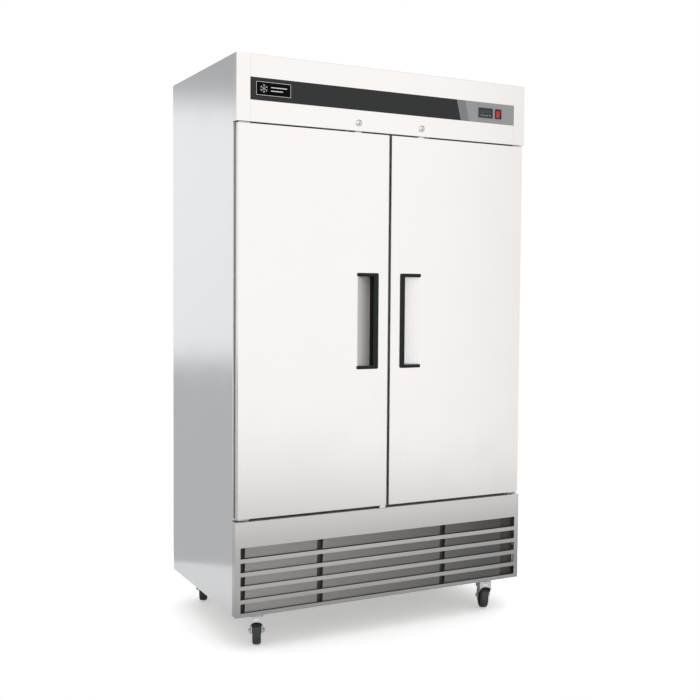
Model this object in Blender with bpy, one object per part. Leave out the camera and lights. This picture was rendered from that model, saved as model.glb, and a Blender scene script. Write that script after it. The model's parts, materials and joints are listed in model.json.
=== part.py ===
"""Two-door reach-in refrigerator with a bottom-mounted condensing unit, on four swivel casters.

Metres, +Z up. The origin is on the floor, at the centre of the footprint. The doors face -Y.
"""

import math

import bmesh
import bpy
from mathutils import Matrix, Vector

# Overall size
WIDTH = 1.194
DEPTH = 0.755
HEIGHT = 2.096
HANDLE_PROUD = 0.005
CASTER_HEIGHT = 0.130

# Sheet metal, clearances and insulation
SHEET = 0.0012
GAP = 0.0003
FACE_SETBACK = 0.035
FRAME_THICKNESS = 0.010
WALL = 0.060

# Heights
GRILLE_TOP = 0.468
DOOR_BOTTOM = 0.479
DOOR_TOP = 1.858
HEADER_BOTTOM = 1.864
OPENING_BOTTOM = 0.521
OPENING_TOP = 1.812
CAVITY_TOP = 2.035

# Depths
FRONT = HANDLE_PROUD - DEPTH / 2
REAR = DEPTH / 2
SIDE = WIDTH / 2
FACE = FRONT + FACE_SETBACK
FRAME_BACK = FACE + FRAME_THICKNESS
CONTROL_BAY_BACK = FRONT + 0.095
HEADER_WALL_BACK = CONTROL_BAY_BACK + WALL
CAVITY_SIDE = SIDE - WALL
CAVITY_BACK = REAR - WALL
MULLION_HALF = 0.040

# Doors
DOOR_SIDE_INSET = 0.0075
DOOR_OUTER = SIDE - DOOR_SIDE_INSET
DOOR_INNER = 0.006
PAN_DEPTH = 0.027
PLUG_BACK = FRONT + 0.060
PLUG_CLEARANCE = 0.010
HINGE_INSET = 0.013
HINGE_SETBACK = 0.014
HINGE_X = DOOR_OUTER - HINGE_INSET
HINGE_Y = FRONT + HINGE_SETBACK
PIN_RADIUS = 0.004
PIN_HOLE_RADIUS = 0.0046
PIN_DEPTH = 0.018
GASKET_WIDTH = 0.022
GASKET_INSET = 0.014
GASKET_INNER_INSET = 0.006

# Recessed handles
HANDLE_BOTTOM = 0.994
HANDLE_TOP = 1.349
HANDLE_EDGE = 0.040
HANDLE_REACH = 0.087
HANDLE_BAR = 0.019
HANDLE_ARM = 0.013
POCKET_DEPTH = 0.038
POCKET_WALL = 0.012
POCKET_FLOOR = 0.012

# Header and controls
POST_WIDTH = 0.050
STRIP_BOTTOM = 1.939
STRIP_TOP = 2.017
STRIP_THICKNESS = 0.0008
STRIP_HALF = SIDE - POST_WIDTH - GAP
CONTROL_Z = 1.977
CONTROLLER_X = 0.414
CONTROLLER_SIZE = (0.066, 0.038)
SWITCH_X = 0.472
SWITCH_SIZE = (0.029, 0.037)
BEZEL_LIP = 0.003
BEZEL_THICKNESS = 0.002
CONTROLLER_DEPTH = 0.060
SWITCH_DEPTH = 0.026
DISPLAY_HALF = 0.022
ROCKER_SIZE = (0.019, 0.027)
ROCKER_TILT = math.radians(8)
LOCK_X = 0.131
LOCK_Z = HEADER_BOTTOM + 0.029
LOCK_RADIUS = 0.010
CAM_LENGTH = 0.043
CAM_WIDTH = 0.010
CAM_Y = FRONT + 0.0195

# Rear panel
VENT_ROWS = 7
VENT_BOTTOM = 0.210
VENT_PITCH = 0.025
VENT_HEIGHT = 0.010
VENT_INNER = 0.100
VENT_OUTER = 0.420
CORD_HOLE_X = 0.480
CORD_HOLE_Z = 0.200
CORD_HOLE_RADIUS = 0.009
BUSH_RADIUS = 0.014
BUSH_DEPTH = 0.012

# Lower grille
FIRST_SLOT_TOP = 0.377
FIRST_SLOT_HEIGHT = 0.0395
SLOT_HEIGHT = 0.0335
SLOT_PITCH = 0.0483
SLOT_COUNT = 5
STILE = 0.018
BLADE_DROP = 0.0375
BLADE_RUN = 0.006
RIB_SPANS = ((-0.579, -0.562), (-0.285, -0.263), (0.233, 0.255), (0.515, 0.579))
RIB_TOP = 0.400

# Chassis
RAIL_TOP = 0.160
RAIL_WIDTH = 0.030
PAD_WIDTH = 0.165
FRONT_PAD_DEPTH = 0.085
REAR_PAD_DEPTH = 0.115

# Casters
CASTER_X = 0.486
CASTER_SHIFT = -0.012
FRONT_CASTER_INSET = 0.055
REAR_CASTER_INSET = 0.080
CASTER_TRAIL = 0.028
CASTER_SWIVEL = math.radians(-21)
WHEEL_RADIUS = 0.050
WHEEL_WIDTH = 0.032
WHEEL_SIDES = 24
FORK_WIDTH = 0.046
FORK_SHEET = 0.0025
FORK_TOP = CASTER_HEIGHT - GAP

# Shelves
SHELF_HEIGHTS = (0.800, 1.130, 1.460)
SHELF_THICKNESS = 0.006
SHELF_INNER = 0.016
SHELF_OUTER = 0.517
SHELF_FRONT = -0.262
SHELF_BACK = 0.296
SHELF_BARS = 13
SHELF_RIM = 0.010
SHELF_BAR = 0.004
PILASTER_WIDTH = 0.024
PILASTER_DEPTH = 0.012
PILASTER_BOTTOM = 0.560
PILASTER_TOP = 1.790
PILASTER_FRONT_Y = -0.200
PILASTER_REAR_Y = 0.240

# Cooling system
COVER_HALF = 0.420
COVER_FRONT = -0.190
COVER_BACK = 0.285
COVER_BOTTOM = 1.868
EVAPORATOR_FAN_Y = -0.080
EVAPORATOR_FAN_Z = 1.893
EVAPORATOR_FAN_RADIUS = 0.082
CONDENSER_X = -0.250
CONDENSER_Z = 0.300
CONDENSER_FAN_Y = FACE + 0.125
CONDENSER_FAN_RADIUS = 0.092
CONDENSER_HALF = 0.180
CONDENSER_DEPTH = 0.045
CONDENSER_BOTTOM = 0.175
CONDENSER_TOP = 0.435
HUB_LENGTH = 0.020
COMPRESSOR_X = 0.300
COMPRESSOR_Y = 0.060
COMPRESSOR_RADIUS = 0.085
COMPRESSOR_BASE = 0.172
COMPRESSOR_TOP = 0.372
PAN_LOW = (-0.420, 0.170, 0.1605)
PAN_HIGH = (0.180, 0.340, 0.205)
COIL_LOW = (-0.350, 0.030, 1.895)
COIL_HIGH = (0.350, 0.230, 2.020)
LAMP_HALF = 0.150
LAMP_SIZE = 0.022
LAMP_BOTTOM = 1.836


def material(name, colour, roughness, metallic=0.0):
    """One Principled surface."""
    made = bpy.data.materials.new(name)
    made.use_nodes = True
    surface = made.node_tree.nodes["Principled BSDF"]
    surface.inputs["Base Color"].default_value = (*colour, 1.0)
    surface.inputs["Roughness"].default_value = roughness
    surface.inputs["Metallic"].default_value = metallic
    return made


def link(name, mesh):
    """An object in the scene that holds this mesh."""
    made = bpy.data.objects.new(name, mesh)
    bpy.context.scene.collection.objects.link(made)
    return made


def from_bmesh(name, shape):
    """An object made of a bmesh, its faces turned outward."""
    bmesh.ops.recalc_face_normals(shape, faces=shape.faces)
    mesh = bpy.data.meshes.new(name)
    shape.to_mesh(mesh)
    shape.free()
    return link(name, mesh)


def add_box(shape, low, high):
    """One more box in a bmesh, between two opposite corners in either order."""
    low, high = zip(*(sorted(pair) for pair in zip(low, high)))
    size = [b - a for a, b in zip(low, high)]
    middle = [(a + b) / 2 for a, b in zip(low, high)]
    placed = Matrix.Translation(middle) @ Matrix.Diagonal((*size, 1))
    bmesh.ops.create_cube(shape, size=1, matrix=placed)


def boxes(*corners):
    """One object holding a box for each (low corner, high corner)."""
    shape = bmesh.new()
    for low, high in corners:
        add_box(shape, low, high)
    return from_bmesh("boxes", shape)


def box(low, high):
    return boxes((low, high))


def prism(outline, start, end, axis="X"):
    """An outline pulled along one axis. Its points give the other two coordinates, in XYZ order."""
    order = {"X": (2, 0, 1), "Y": (0, 2, 1), "Z": (0, 1, 2)}[axis]
    shape = bmesh.new()
    rings = []
    for along in (start, end):
        ring = []
        for point in outline:
            flat = (point[0], point[1], along)
            ring.append(shape.verts.new([flat[i] for i in order]))
        rings.append(ring)
        shape.faces.new(ring)
    for i in range(len(outline)):
        j = (i + 1) % len(outline)
        shape.faces.new((rings[0][i], rings[0][j], rings[1][j], rings[1][i]))
    return from_bmesh("prism", shape)


def u_outline(middle, half, closed_end, open_end, sheet):
    """A U of sheet metal, as an outline: its web is at closed_end and its legs reach open_end."""
    inward = sheet if open_end > closed_end else -sheet
    outer = [(-half, open_end), (-half, closed_end), (half, closed_end), (half, open_end)]
    inner = [(half - sheet, open_end), (half - sheet, closed_end + inward)]
    inner += [(sheet - half, closed_end + inward), (sheet - half, open_end)]
    return [(middle + x, along) for x, along in outer + inner]


def turned(profile, centre, axis="Z", sides=24, phase=0.0):
    """A closed (radius, height) profile turned about an axis through centre. Radius 0 closes on the axis."""
    shape = bmesh.new()
    columns = []
    for step in range(sides):
        angle = 2 * math.pi * step / sides + phase
        column = []
        for radius, height in profile:
            if radius == 0 and step:
                column.append(columns[0][len(column)])
                continue
            spot = (radius * math.cos(angle), radius * math.sin(angle), height)
            column.append(shape.verts.new(spot))
        columns.append(column)
    for step in range(sides):
        here, after = columns[step], columns[(step + 1) % sides]
        for i in range(len(profile)):
            j = (i + 1) % len(profile)
            corners = []
            for corner in (here[i], here[j], after[j], after[i]):
                if corner not in corners:
                    corners.append(corner)
            if len(corners) > 2:
                shape.faces.new(corners)
    turn_about = {"X": "Y", "Y": "X"}.get(axis)
    turn = Matrix.Rotation(math.pi / 2, 4, turn_about) if turn_about else Matrix()
    shape.transform(Matrix.Translation(centre) @ turn)
    return from_bmesh("turned", shape)


def cylinder(centre, radius, length, axis="Z", sides=24, phase=0.0):
    """A cylinder whose middle is at centre."""
    half = length / 2
    profile = [(0, -half), (radius, -half), (radius, half), (0, half)]
    return turned(profile, centre, axis, sides, phase)


def combine(target, tools, operation, solver="EXACT"):
    """Applies one Boolean for each tool, and removes the tools."""
    for tool in tools:
        step = target.modifiers.new("step", "BOOLEAN")
        step.operation = operation
        step.solver = solver
        step.object = tool
    bpy.context.view_layer.update()
    graph = bpy.context.evaluated_depsgraph_get()
    mesh = bpy.data.meshes.new_from_object(target.evaluated_get(graph))
    target.modifiers.clear()
    target.data = mesh
    for tool in tools:
        bpy.data.objects.remove(tool)
    return target


def cut(target, *tools):
    return combine(target, tools, "DIFFERENCE")


def join(target, *tools, solver="EXACT"):
    return combine(target, tools, "UNION", solver)


def moved(target, matrix):
    """Moves an object's mesh, leaving the object itself at the origin."""
    target.data.transform(matrix)
    return target


def finish(target, name, surface, pivot=(0, 0, 0), smooth_under=30):
    """Names a piece, gives it its material, and puts its origin on its joint's axis."""
    target.name = name
    target.data.name = name
    target.data.materials.clear()
    target.data.materials.append(surface)
    target.data.transform(Matrix.Translation(-Vector(pivot)))
    target.location = pivot
    target.data.shade_smooth()
    target.data.set_sharp_from_angle(angle=math.radians(smooth_under))
    return target


def make_cabinet(steel, foam, white):
    """The outer skins, the foamed walls, and the liner inside them."""
    inside = SIDE - SHEET - GAP
    for side, name in ((-1, "left_side_panel"), (1, "right_side_panel")):
        low = (side * SIDE, FACE, CASTER_HEIGHT)
        high = (side * (SIDE - SHEET), REAR, HEIGHT)
        finish(box(low, high), name, steel)

    top = box((-inside, FACE, HEIGHT - SHEET), (inside, REAR - SHEET - GAP, HEIGHT))
    finish(top, "top_panel", steel)
    make_rear_panel(steel, inside)

    body = box(
        (-inside, FRAME_BACK + GAP, GRILLE_TOP + GAP),
        (inside, REAR - SHEET - GAP, HEIGHT - SHEET - GAP),
    )
    control_bay = box((-SIDE, FRONT, HEADER_BOTTOM), (SIDE, CONTROL_BAY_BACK, HEIGHT + WALL))
    storage = box((-CAVITY_SIDE, FRONT, OPENING_BOTTOM), (CAVITY_SIDE, CAVITY_BACK, OPENING_TOP))
    plenum = box(
        (-CAVITY_SIDE, HEADER_WALL_BACK, OPENING_BOTTOM + WALL),
        (CAVITY_SIDE, CAVITY_BACK, CAVITY_TOP),
    )
    finish(cut(body, control_bay, storage, plenum), "cabinet_insulation", foam)

    low, high = GAP, GAP + SHEET
    shells = []
    for inset, mouth in ((low, FRAME_BACK + GAP), (high, FRONT)):
        room = box(
            (inset - CAVITY_SIDE, mouth, OPENING_BOTTOM + inset),
            (CAVITY_SIDE - inset, CAVITY_BACK - inset, OPENING_TOP - inset),
        )
        upper = box(
            (inset - CAVITY_SIDE, HEADER_WALL_BACK + inset, OPENING_BOTTOM + WALL),
            (CAVITY_SIDE - inset, CAVITY_BACK - inset, CAVITY_TOP - inset),
        )
        shells.append(join(room, upper))
    finish(cut(*shells), "interior_liner", white)


def make_rear_panel(steel, inside):
    """The full-height back, with machine-bay vents and the cord's bushed hole."""
    panel = box((-inside, REAR - SHEET, CASTER_HEIGHT), (inside, REAR, HEIGHT))
    vents = []
    for row in range(VENT_ROWS):
        z = VENT_BOTTOM + VENT_PITCH * row
        for side in (-1, 1):
            low = (side * VENT_INNER, REAR - WALL, z)
            vents.append((low, (side * VENT_OUTER, REAR + WALL, z + VENT_HEIGHT)))
    hole_at = (CORD_HOLE_X, REAR - BUSH_DEPTH / 2, CORD_HOLE_Z)
    bush = cylinder(hole_at, BUSH_RADIUS, BUSH_DEPTH, "Y", 16)
    hole = cylinder(hole_at, CORD_HOLE_RADIUS, WALL, "Y", 16)
    finish(cut(join(panel, bush), boxes(*vents), hole), "rear_panel", steel)


def make_front_frame(steel, white):
    """The frame that the gaskets seal against, and the mullion between the two openings."""
    inside = SIDE - SHEET - GAP
    frame = box((-inside, FACE, GRILLE_TOP + GAP), (inside, FRAME_BACK, HEADER_BOTTOM - GAP))
    openings = []
    for side in (-1, 1):
        low = (side * MULLION_HALF, FRONT, OPENING_BOTTOM + GAP + SHEET)
        high = (side * (CAVITY_SIDE - GAP - SHEET), FRAME_BACK + WALL, OPENING_TOP - GAP - SHEET)
        openings.append((low, high))
    finish(cut(frame, boxes(*openings)), "front_frame", steel)

    bottom = OPENING_BOTTOM + SHEET + 2 * GAP
    top = OPENING_TOP - SHEET - 2 * GAP
    back = CONTROL_BAY_BACK
    mullion = box((-MULLION_HALF, FRAME_BACK + GAP, bottom), (MULLION_HALF, back, top))
    rail_low = (-PILASTER_WIDTH / 2, back - SHEET, PILASTER_BOTTOM)
    rail_high = (PILASTER_WIDTH / 2, back + PILASTER_DEPTH, PILASTER_TOP)
    finish(join(mullion, box(rail_low, rail_high)), "center_mullion", white)


def make_pilasters(steel):
    """The slotted shelf standards: U channels whose open side faces the wall."""
    wall = CAVITY_SIDE - GAP - SHEET - GAP
    half = PILASTER_WIDTH / 2
    for side, side_name in ((-1, "left"), (1, "right")):
        for y, place in ((PILASTER_FRONT_Y, "front"), (PILASTER_REAR_Y, "rear")):
            rail = box(
                (side * wall, y - half, PILASTER_BOTTOM),
                (side * (wall - PILASTER_DEPTH), y + half, PILASTER_TOP),
            )
            channel = box(
                (side * (wall + 0.010), y - half + SHEET, 0),
                (side * (wall - PILASTER_DEPTH + SHEET), y + half - SHEET, HEIGHT),
            )
            finish(cut(rail, channel), f"{side_name}_{place}_pilaster", steel)
    back = CAVITY_BACK - GAP - SHEET - GAP
    rail = box((-half, back, PILASTER_BOTTOM), (half, back - PILASTER_DEPTH, PILASTER_TOP))
    channel = box((SHEET - half, back + 0.010, 0), (half - SHEET, back - PILASTER_DEPTH + SHEET, HEIGHT))
    finish(cut(rail, channel), "center_rear_pilaster", steel)


def make_shelves(wire):
    """Three grid shelves for each section. Each lifts off the clips in its four standards."""
    inner_width = SHELF_OUTER - SHELF_INNER - 2 * SHELF_RIM
    pitch = (inner_width + SHELF_BAR) / (SHELF_BARS - 1)
    for side, side_name in ((-1, "left"), (1, "right")):
        for number, z in enumerate(SHELF_HEIGHTS, 1):
            top = z + SHELF_THICKNESS
            shelf = box((side * SHELF_INNER, SHELF_FRONT, z), (side * SHELF_OUTER, SHELF_BACK, top))
            slots = []
            for i in range(SHELF_BARS - 1):
                x = SHELF_INNER + SHELF_RIM + i * pitch
                low = (side * x, SHELF_FRONT + SHELF_RIM, z - 0.010)
                high = (side * (x + pitch - SHELF_BAR), SHELF_BACK - SHELF_RIM, top + 0.010)
                slots.append((low, high))
            finish(cut(shelf, boxes(*slots)), f"{side_name}_shelf_{number}", wire)


def pocket_outline(side, grow, mouth):
    """The handle pocket from above: a ramp from the skin down to a narrow floor near the bar."""
    edge = DOOR_INNER + HANDLE_EDGE + POCKET_WALL - grow
    end = DOOR_INNER + HANDLE_EDGE + HANDLE_REACH - 0.002 + grow
    floor_y = FRONT + POCKET_DEPTH + grow
    outline = [(edge, mouth), (edge, floor_y), (edge + POCKET_FLOOR + grow, floor_y)]
    outline += [(end, FRONT + grow), (end, mouth)]
    return [(side * x, y) for x, y in outline]


def make_pocket(side, grow=0.0, mouth=-SIDE):
    outline = pocket_outline(side, grow, mouth)
    return prism(outline, HANDLE_BOTTOM + 0.006 - grow, HANDLE_TOP - 0.006 + grow, "Z")


def make_pin_holes(side):
    """Clearance for the hinge pins, in at the door's top and its bottom."""
    holes = []
    for z in (DOOR_BOTTOM, DOOR_TOP):
        holes.append(cylinder((side * HINGE_X, HINGE_Y, z), PIN_HOLE_RADIUS, 2 * PIN_DEPTH + 0.004, "Z", 16))
    return holes


def make_lock_slot(side, bottom, reach=0.0):
    """The space that a lock's cam sweeps as it turns down."""
    low = (side * (LOCK_X - CAM_WIDTH / 2 - 0.002), CAM_Y - 0.002 - reach, bottom)
    high = (side * (LOCK_X + CAM_LENGTH - 0.008), CAM_Y + 0.005 + reach, LOCK_Z)
    return box(low, high)


def make_door(side, side_name, steel, liner_white, rubber, plastic):
    """A pressed skin, the foamed inner panel that fills it, its gasket and its recessed handle."""
    pivot = (side * HINGE_X, HINGE_Y, 0)
    skin = box(
        (side * DOOR_INNER, FRONT, DOOR_BOTTOM),
        (side * DOOR_OUTER, FRONT + PAN_DEPTH, DOOR_TOP),
    )
    inner = SHEET
    hollow = box(
        (side * (DOOR_INNER + inner), FRONT + inner, DOOR_BOTTOM + inner),
        (side * (DOOR_OUTER - inner), FRONT + PAN_DEPTH + WALL, DOOR_TOP - inner),
    )
    skin = join(cut(skin, hollow), make_pocket(side, SHEET, FRONT + SHEET / 2))
    skin = cut(skin, make_pocket(side), *make_pin_holes(side), make_lock_slot(side, DOOR_TOP - 0.014))
    finish(skin, f"{side_name}_door_skin", steel, pivot)

    inner += GAP
    filling = box(
        (side * (DOOR_INNER + inner), FRONT + inner, DOOR_BOTTOM + inner),
        (side * (DOOR_OUTER - inner), FRONT + PAN_DEPTH, DOOR_TOP - inner),
    )
    plug_inner = MULLION_HALF + PLUG_CLEARANCE
    plug_outer = CAVITY_SIDE - SHEET - PLUG_CLEARANCE
    plug = box(
        (side * plug_inner, FRONT + PAN_DEPTH - SHEET, OPENING_BOTTOM + PLUG_CLEARANCE),
        (side * plug_outer, PLUG_BACK, OPENING_TOP - PLUG_CLEARANCE),
    )
    core = join(filling, plug)
    pocket = make_pocket(side, SHEET + GAP)
    core = cut(core, pocket, *make_pin_holes(side), make_lock_slot(side, DOOR_TOP - 0.014, GAP))
    finish(core, f"{side_name}_door_inner_panel", liner_white, pivot)

    make_gasket(side, side_name, rubber, pivot)
    make_handle(side, side_name, plastic, pivot)


def make_gasket(side, side_name, rubber, pivot):
    """A magnetic gasket: one ring between the door's back and the cabinet's frame."""
    low_x = DOOR_INNER + GASKET_INNER_INSET
    high_x = DOOR_OUTER - GASKET_INSET
    low_z = DOOR_BOTTOM + GASKET_INSET
    high_z = DOOR_TOP - GASKET_INSET
    front, back = FRONT + PAN_DEPTH + GAP, FACE - GAP
    ring = box((side * low_x, front, low_z), (side * high_x, back, high_z))
    hole = box(
        (side * (low_x + GASKET_WIDTH), FRONT, low_z + GASKET_WIDTH),
        (side * (high_x - GASKET_WIDTH), REAR, high_z - GASKET_WIDTH),
    )
    finish(cut(ring, hole), f"{side_name}_door_gasket", rubber, pivot)


def make_handle(side, side_name, plastic, pivot):
    """A C frame around the pocket: a grip bar, two arms, and the pocket's inner wall under the bar."""
    edge = DOOR_INNER + HANDLE_EDGE
    proud = FRONT - HANDLE_PROUD
    seat = FRONT - GAP
    far = edge + HANDLE_REACH
    bar = box((side * edge, proud, HANDLE_BOTTOM), (side * (edge + HANDLE_BAR), seat, HANDLE_TOP))
    arms = []
    for z in (HANDLE_BOTTOM, HANDLE_TOP - HANDLE_ARM):
        arms.append(box((side * edge, proud, z), (side * far, seat, z + HANDLE_ARM)))
    wall_x = edge + POCKET_WALL + GAP
    wall = box(
        (side * wall_x, proud + 0.001, HANDLE_BOTTOM + 0.007),
        (side * (wall_x + 0.004), FRONT + POCKET_DEPTH - GAP, HANDLE_TOP - 0.007),
    )
    finish(join(bar, *arms, wall), f"{side_name}_door_handle", plastic, pivot)


def make_hinges(steel):
    """Brackets in the seams above and below the doors. Each carries one fixed pin."""
    leaf_back = FACE - 2 * GAP
    for side, side_name in ((-1, "left"), (1, "right")):
        low_x, high_x = side * (HINGE_X + 0.010), side * (HINGE_X - 0.030)
        for place in ("upper", "lower"):
            up = 1 if place == "upper" else -1
            seam = DOOR_TOP if up > 0 else DOOR_BOTTOM
            near = seam + up * 0.0015
            far = near + up * 0.003
            leaf = box((low_x, FRONT + 0.004, near), (high_x, leaf_back, far))
            flange = box((low_x, leaf_back - 0.003, near), (high_x, leaf_back, near + up * 0.040))
            pin_end = seam - up * PIN_DEPTH
            middle = (pin_end + far) / 2
            pin = cylinder((side * HINGE_X, HINGE_Y, middle), PIN_RADIUS, abs(far - pin_end), "Z", 16)
            finish(join(leaf, flange, pin), f"{side_name}_{place}_hinge_bracket", steel)


def control_holes(grow):
    """The two cut-outs through the fascia and its strip."""
    holes = []
    for x, size in ((CONTROLLER_X, CONTROLLER_SIZE), (SWITCH_X, SWITCH_SIZE)):
        half_x = size[0] / 2 - BEZEL_LIP + grow
        half_z = size[1] / 2 - BEZEL_LIP + grow
        low = (x - half_x, FRONT - 0.02, CONTROL_Z - half_z)
        holes.append(box(low, (x + half_x, FRONT + 0.02, CONTROL_Z + half_z)))
    return holes


def make_header(steel, black):
    """The header above the doors: a frame with two end posts, the fascia between them and its strip."""
    back = FACE - GAP
    tray = box((-SIDE, FRONT, HEADER_BOTTOM), (SIDE, back, HEIGHT))
    hollow = box((SHEET - SIDE, FRONT + SHEET, HEADER_BOTTOM + SHEET), (SIDE - SHEET, REAR, HEIGHT - SHEET))
    window = box((POST_WIDTH - SIDE, -SIDE, 0), (SIDE - POST_WIDTH, FRONT + SHEET + GAP, HEIGHT - SHEET))
    hinge_notch = box((SHEET - SIDE, FRONT + 0.027, 0), (SIDE - SHEET, REAR, HEADER_BOTTOM + 0.010))
    slots = [make_lock_slot(side, HEADER_BOTTOM - 0.01) for side in (-1, 1)]
    finish(cut(tray, hollow, window, hinge_notch, *slots), "header_frame", steel)

    fascia = box((-STRIP_HALF, FRONT, HEADER_BOTTOM), (STRIP_HALF, FRONT + SHEET, HEIGHT - SHEET - GAP))
    lock_hole = LOCK_RADIUS + 0.0004
    locks = [cylinder((side * LOCK_X, FRONT, LOCK_Z), lock_hole, 0.02, "Y", 20) for side in (-1, 1)]
    finish(cut(fascia, *locks, *control_holes(0.0005)), "header_fascia", steel)

    strip_front = FRONT - STRIP_THICKNESS - GAP
    strip = box((-STRIP_HALF, strip_front, STRIP_BOTTOM), (STRIP_HALF, FRONT - GAP, STRIP_TOP))
    finish(cut(strip, *control_holes(0.0005)), "header_strip", black)


def control_body(x, size, depth):
    """A case with a bezel on its front, and the bezel's front plane."""
    half_x, half_z = size[0] / 2, size[1] / 2
    seat = FRONT - STRIP_THICKNESS - 2 * GAP
    proud = seat - BEZEL_THICKNESS
    bezel = box((x - half_x, proud, CONTROL_Z - half_z), (x + half_x, seat, CONTROL_Z + half_z))
    case = box(
        (x - half_x + BEZEL_LIP, seat - 0.001, CONTROL_Z - half_z + BEZEL_LIP),
        (x + half_x - BEZEL_LIP, FRONT + depth, CONTROL_Z + half_z - BEZEL_LIP),
    )
    return join(bezel, case), proud


def make_controls(black, grey, red):
    """The temperature controller, the power switch's housing, and the rocker inside it."""
    x = CONTROLLER_X
    body, proud = control_body(x, CONTROLLER_SIZE, CONTROLLER_DEPTH)
    window = box(
        (x - DISPLAY_HALF, proud - 0.001, CONTROL_Z - 0.009),
        (x + DISPLAY_HALF, proud + 0.0008, CONTROL_Z + 0.011),
    )
    finish(cut(body, window), "temperature_controller", grey)

    x = SWITCH_X
    body, proud = control_body(x, SWITCH_SIZE, SWITCH_DEPTH)
    half_x, half_z = ROCKER_SIZE[0] / 2 + 0.0007, ROCKER_SIZE[1] / 2 + 0.0012
    well = box(
        (x - half_x, proud - 0.01, CONTROL_Z - half_z),
        (x + half_x, FRONT + 0.018, CONTROL_Z + half_z),
    )
    finish(cut(body, well), "switch_housing", black)

    pivot = (x, FRONT + 0.003, CONTROL_Z)
    half_height = ROCKER_SIZE[1] / 2
    crown, depth = 0.0050, 0.007
    outline = [(-crown, -half_height), (0.0012 - crown, 0), (-crown, half_height)]
    outline += [(depth, half_height - 0.001), (depth, 0.001 - half_height)]
    rocker = prism(outline, -ROCKER_SIZE[0] / 2, ROCKER_SIZE[0] / 2, "X")
    tilt = Matrix.Translation(pivot) @ Matrix.Rotation(ROCKER_TILT, 4, "X")
    finish(moved(rocker, tilt), "power_rocker", red, pivot)


def make_locks(chrome):
    """Key locks in the fascia. Each plug turns its cam down into the top of the door below."""
    for side, name in ((-1, "left_lock_plug"), (1, "right_lock_plug")):
        centre = (side * LOCK_X, FRONT, LOCK_Z)
        front, back = FRONT - 0.0025, CAM_Y + 0.001
        plug = cylinder((centre[0], (front + back) / 2, LOCK_Z), LOCK_RADIUS, back - front, "Y", 20)
        keyway = box(
            (centre[0] - 0.0012, front - 0.001, LOCK_Z - 0.004),
            (centre[0] + 0.0012, front + 0.008, LOCK_Z + 0.004),
        )
        half = CAM_WIDTH / 2
        cam = box(
            (centre[0] - side * half, CAM_Y, LOCK_Z - half),
            (centre[0] + side * CAM_LENGTH, CAM_Y + 0.003, LOCK_Z + half),
        )
        finish(join(cut(plug, keyway), cam), name, chrome, (centre[0], 0, LOCK_Z))


def make_grille(steel):
    """The louvred lower panel: slots between lips, with blades that lean down and inward from each lip."""
    top, bottom = GRILLE_TOP, CASTER_HEIGHT
    tray = box((-SIDE, FRONT, bottom), (SIDE, FACE - GAP, top))
    hollow = box((SHEET - SIDE, FRONT + SHEET, bottom + SHEET), (SIDE - SHEET, REAR, top - SHEET))
    back_notch = box((SHEET - SIDE, FRONT + 0.017, 0), (SIDE - SHEET, REAR, HEIGHT))
    slots, blades = [], bmesh.new()
    spans = [(rib[1], next_rib[0]) for rib, next_rib in zip(RIB_SPANS, RIB_SPANS[1:])]
    for i in range(SLOT_COUNT):
        height = SLOT_HEIGHT if i else FIRST_SLOT_HEIGHT
        slot_top = FIRST_SLOT_TOP - i * SLOT_PITCH
        if i:
            slot_top -= FIRST_SLOT_HEIGHT - SLOT_HEIGHT
        low = (STILE - SIDE, FRONT - 0.01, slot_top - height)
        slots.append((low, (SIDE - STILE, FRONT + 0.01, slot_top)))
        outline = [
            (FRONT + 0.0002, slot_top + 0.0015),
            (FRONT + 0.0010, slot_top + 0.0015),
            (FRONT + BLADE_RUN, slot_top - BLADE_DROP),
            (FRONT + BLADE_RUN - 0.001, slot_top - BLADE_DROP),
        ]
        for start, end in spans:
            rings = [[blades.verts.new((x, y, z)) for y, z in outline] for x in (start, end)]
            blades.faces.new(rings[0])
            blades.faces.new(rings[1])
            for a in range(4):
                b = (a + 1) % 4
                blades.faces.new((rings[0][a], rings[0][b], rings[1][b], rings[1][a]))
    panel = cut(tray, hollow, back_notch, boxes(*slots))
    finish(join(panel, from_bmesh("blades", blades)), "louver_grille", steel)


def make_base(black):
    """The chassis: perimeter rails, cross members, caster pads, and the ribs behind the grille."""
    inside = SIDE - SHEET - GAP
    low = CASTER_HEIGHT + GAP
    back = REAR - SHEET - GAP
    rails = box((-inside, FACE, low), (inside, back, RAIL_TOP))
    reach = inside - RAIL_WIDTH
    base = cut(rails, box((-reach, FACE + RAIL_WIDTH, 0), (reach, back - RAIL_WIDTH, HEIGHT)))
    parts = []
    for y in (COMPRESSOR_Y - 0.080, COMPRESSOR_Y + 0.050):
        near = (0.010 - inside, y, low + 0.002)
        parts.append(box(near, (inside - 0.010, y + RAIL_WIDTH, RAIL_TOP - 0.005)))
    for x in (-1, 1):
        for y, pad_depth in ((FACE, FRONT_PAD_DEPTH), (back, -REAR_PAD_DEPTH)):
            corner = (x * (inside - SHEET), y + math.copysign(SHEET, pad_depth), low + 0.001)
            parts.append(box(corner, (x * (inside - PAD_WIDTH), y + pad_depth, low + 0.007)))
    for start, end in RIB_SPANS:
        parts.append(box((start, FRONT + 0.018, low + 0.003), (end, FACE + 0.006, RIB_TOP)))
    finish(join(base, *parts), "base_frame", black)


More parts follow.
